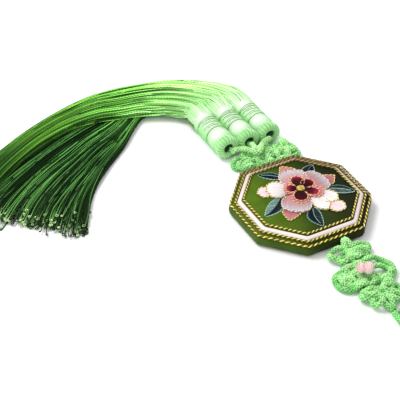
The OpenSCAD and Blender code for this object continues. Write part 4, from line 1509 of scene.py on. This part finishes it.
            # Painted glints that rise and fall along each thread's twist
            painted_glint = nodes.math("MULTIPLY", nodes.math("SINE", turn), 0.27 * gain)
            own = nodes.bright(nodes.ramp(nodes.value("strand"), self.SHADES[label]),
                               nodes.math("ADD", painted_glint, gain))
            fade = nodes.stretch(nodes.value("along"), 0.03, 0.24, 0.12, 1.0)
            return nodes.mix(fade, base, nodes.mix(1.0, base, own, "MULTIPLY"))
        name = {"top": "Upper tassel thread", "under": "Under tassel thread"}[label]
        return fabric(name, shade, roughness=0.42, sheen=0.0, bump=0.15, uneven=0.12,
                      tone_scale=60.0, specular=0.12)

    def layer(self, rng, label, tassel, count, thick):
        """Paths of one tassel's threads in a layer, and how far along each of
        their points lies."""
        place = (tassel + (np.arange(count) + rng.random(count)) / count) / 3
        height = rng.random(count) ** 0.7
        across, lift = self.wander(rng, label, place, height)
        fan = self.fan(self.LAYERS[label][0], across, lift)
        roots = self.roots(tassel, place, height, self.LAYERS[label][1])
        paths, along = [], []
        for share, path in zip(place, smooth_path(np.concatenate([*roots, fan], axis=1), 6)):
            path = self.curled(rng, self.cut(rng, path, share))
            path[:, 2] = np.maximum(path[:, 2], thick / 2 + self.THREAD_GAP)
            steps = distances(path)
            paths.append(path)
            along.append(steps / steps[-1])
        return paths, along

    def wander(self, rng, label, place, height):
        """How far across and how high each thread lies at each section, from 0
        to 1. Threads draw together in clumps, drift, and roll with the bundle."""
        table, _, _, clumps, spread, roll, _ = self.LAYERS[label]
        count, n = len(place), len(table)
        nearest = (np.floor(place * 3 * clumps) + 0.5) / (3 * clumps)
        grow = np.linspace(0.25, 1.0, n) ** 1.3
        drift = self.DRIFT * np.cumsum(rng.normal(size=(count, n)), axis=1) / math.sqrt(n)
        drift += self.START_DRIFT * rng.normal(size=(count, 1))
        across = place[:, None] + self.GATHER * grow * (nearest - place)[:, None] + spread * grow * drift
        across += roll * np.linspace(0.1, 1.0, n) * (2 * height[:, None] - 1)
        rises = np.cumsum(rng.normal(size=(count, n)), axis=1) / math.sqrt(n)
        lift = height[:, None] + self.RISE_DRIFT * rises
        lift += 2.0 * np.maximum(-across, 0) - 2.0 * np.maximum(across - 1, 0)
        return np.clip(1 - np.abs(1 - np.abs(across)), 0, 1), np.clip(lift, 0, 1)

    def fan(self, table, across, lift):
        """The threads' points on the layer's sections."""
        rows = np.array(table)
        k = across[..., None]
        a, m, b = (rows[None, :, i:i + 2] for i in (0, 2, 4))
        xy = a * (1 - k) * (1 - 2 * k) + m * 4 * k * (1 - k) + b * k * (2 * k - 1)
        xy = xy * SKIRT_L + (TASSEL_X, SKIRT_Y)
        z = (rows[:, 6] + (rows[:, 7] - rows[:, 6]) * lift) * HEAD_D
        return points_at(xy[..., 0], xy[..., 1], z)

    def roots(self, tassel, place, height, span):
        """The threads' first points, inside and at the end of their head."""
        head_x = TASSEL_X + (tassel - 1) * HEAD_D
        across = (place * 3 - tassel - 0.5) * 2
        x = np.clip(across, -0.98, 0.98) * HEAD_D * self.ROOT_HALF
        reach = np.sqrt(np.maximum((HEAD_D * self.ROOT_R) ** 2 - x ** 2, 0.1))
        z = reach * (span[0] + (span[1] - span[0]) * height)
        return [points_at(head_x + x * full, SKIRT_Y + y, HEAD_D / 2 + z * full)[:, None]
                for y, full in self.ROOTS]

    def cut(self, rng, path, share):
        """A thread cut to its own ragged length, as even points. A few are
        longer than the rest."""
        ragged = self.CUT + self.TUFT_CUT * math.sin(share * 61) + self.THREAD_CUT * rng.random() ** 2
        ragged += self.NOTCH_DEPTH * math.exp(-((share - self.NOTCH_AT) / self.NOTCH_W) ** 2)
        if share < self.TUFT_EDGE:
            ragged -= self.TUFT_EXTRA
        if rng.random() < self.LONG_SHARE:
            ragged = -self.LONG_EXTRA * rng.random()
        path = picked(path, np.linspace(0, distances(path)[-1] - max(ragged, 0), 48))
        if ragged < 0:
            path = np.concatenate([path, path[-1:] - ragged * unit(path[-1] - path[-2])])
        return path

    def curled(self, rng, path):
        """A thread with its end curled level, to one side or the other."""
        run = path[-1] - path[-2]
        run[2] = 0
        run = run / np.linalg.norm(run)
        side = np.array((-run[1], run[0], 0)) * rng.choice((-1, 1))
        r = self.CURL_R + self.CURL_MORE * rng.random()
        t = np.linspace(*self.CURL_SPAN, 7)[:, None]
        return np.concatenate([path, path[-1] + run * (r * np.sin(t) + 0.4) + side * r * (1 - np.cos(t))])


class NORIGAE_OT_stage(bpy.types.Operator):
    """Make the floor, the lights and the camera"""
    bl_idname = "norigae.stage"
    bl_label = "Stage"

    # Places in metres
    CAMERA = (-0.2910, -0.4376, 0.4267)
    CAMERA_TARGET = (-0.0361, 0.0279, 0)
    LAMP_TARGET = (-0.02, 0.03, 0)

    # The area lights: place, width, share of the key light's power
    LAMPS = {"Key": ((-0.34, 0.42, 0.85), 0.45, 1.0), "Fill": ((-0.8, -0.3, 0.5), 0.6, 0.2)}

    def execute(self, context):
        settings = context.scene.norigae_stage
        self.camera(context.scene)
        self.floor(context.scene, settings)
        self.lights(context.scene, settings)
        return {"FINISHED"}

    def aimed(self, name, data, place, target):
        """An object at a place that faces a target."""
        made = bpy.data.objects.new(name, data)
        made.location = place
        made.rotation_euler = (Vector(target) - Vector(place)).to_track_quat("-Z", "Y").to_euler()
        bpy.context.scene.collection.objects.link(made)
        return made

    def camera(self, scene):
        """A long lens that looks down on the ornament, as in the photograph."""
        data = bpy.data.cameras.new("Camera")
        data.lens = 135
        data.sensor_width = 36
        data.clip_start = 0.01
        scene.camera = self.aimed("Camera", data, self.CAMERA, self.CAMERA_TARGET)

    def floor(self, scene, settings):
        """The pale floor."""
        bm = bmesh.new()
        bmesh.ops.create_grid(bm, x_segments=1, y_segments=1, size=3.0)
        floor = bpy.data.objects.new("Floor", mesh_of(bm, "Floor"))
        scene.collection.objects.link(floor)
        paper = bpy.data.materials.new("Pale floor")
        paper.use_nodes = True
        shader = paper.node_tree.nodes["Principled BSDF"]
        shader.inputs["Base Color"].default_value = (*settings.floor, 1.0)
        shader.inputs["Roughness"].default_value = 0.9
        shader.inputs["Specular IOR Level"].default_value = 0.1
        floor.data.materials.append(paper)

    def lights(self, scene, settings):
        """Even light all round, a key light and a weaker one across from it."""
        scene.view_settings.view_transform = "Standard"
        world = scene.world or bpy.data.worlds.new("World")
        scene.world = world
        world.use_nodes = True
        back = world.node_tree.nodes["Background"]
        back.inputs["Color"].default_value = (1, 1, 1, 1)
        back.inputs["Strength"].default_value = settings.world
        for name, (place, size, share) in self.LAMPS.items():
            light = bpy.data.lights.new(name, "AREA")
            light.size = size
            light.energy = settings.key * share
            self.aimed(name, light, place, self.LAMP_TARGET)


STEPS = (NORIGAE_OT_stage, NORIGAE_OT_hanging_loop, NORIGAE_OT_pendant, NORIGAE_OT_embroidery,
         NORIGAE_OT_knots, NORIGAE_OT_pink_wrap, NORIGAE_OT_heads, NORIGAE_OT_threads)
SETTINGS = {
    "norigae_cord": NorigaeCordSettings,
    "norigae_pendant": NorigaePendantSettings,
    "norigae_tassels": NorigaeTasselSettings,
    "norigae_stage": NorigaeStageSettings,
}


class NORIGAE_PT_panel(bpy.types.Panel):
    """The norigae's sizes, colours and pieces"""
    bl_idname = "NORIGAE_PT_panel"
    bl_label = "Norigae"
    bl_space_type = "VIEW_3D"
    bl_region_type = "UI"
    bl_category = "Norigae"

    def draw(self, context):
        for key, group in SETTINGS.items():
            box = self.layout.box()
            for prop in group.__annotations__:
                box.prop(getattr(context.scene, key), prop)
        for step in STEPS:
            self.layout.operator(step.bl_idname)


def register():
    """Adds the settings, the operators and the panel to Blender."""
    for group in (*SETTINGS.values(), *STEPS, NORIGAE_PT_panel):
        bpy.utils.register_class(group)
    for key, group in SETTINGS.items():
        setattr(bpy.types.Scene, key, bpy.props.PointerProperty(type=group))


def unregister():
    """Takes them out again."""
    for key in SETTINGS:
        delattr(bpy.types.Scene, key)
    for group in reversed((*SETTINGS.values(), *STEPS, NORIGAE_PT_panel)):
        bpy.utils.unregister_class(group)


def main():
    """Makes every piece in order."""
    register()
    for step in STEPS:
        group, name = step.bl_idname.split(".")
        getattr(getattr(bpy.ops, group), name)()


if __name__ == "__main__":
    main()
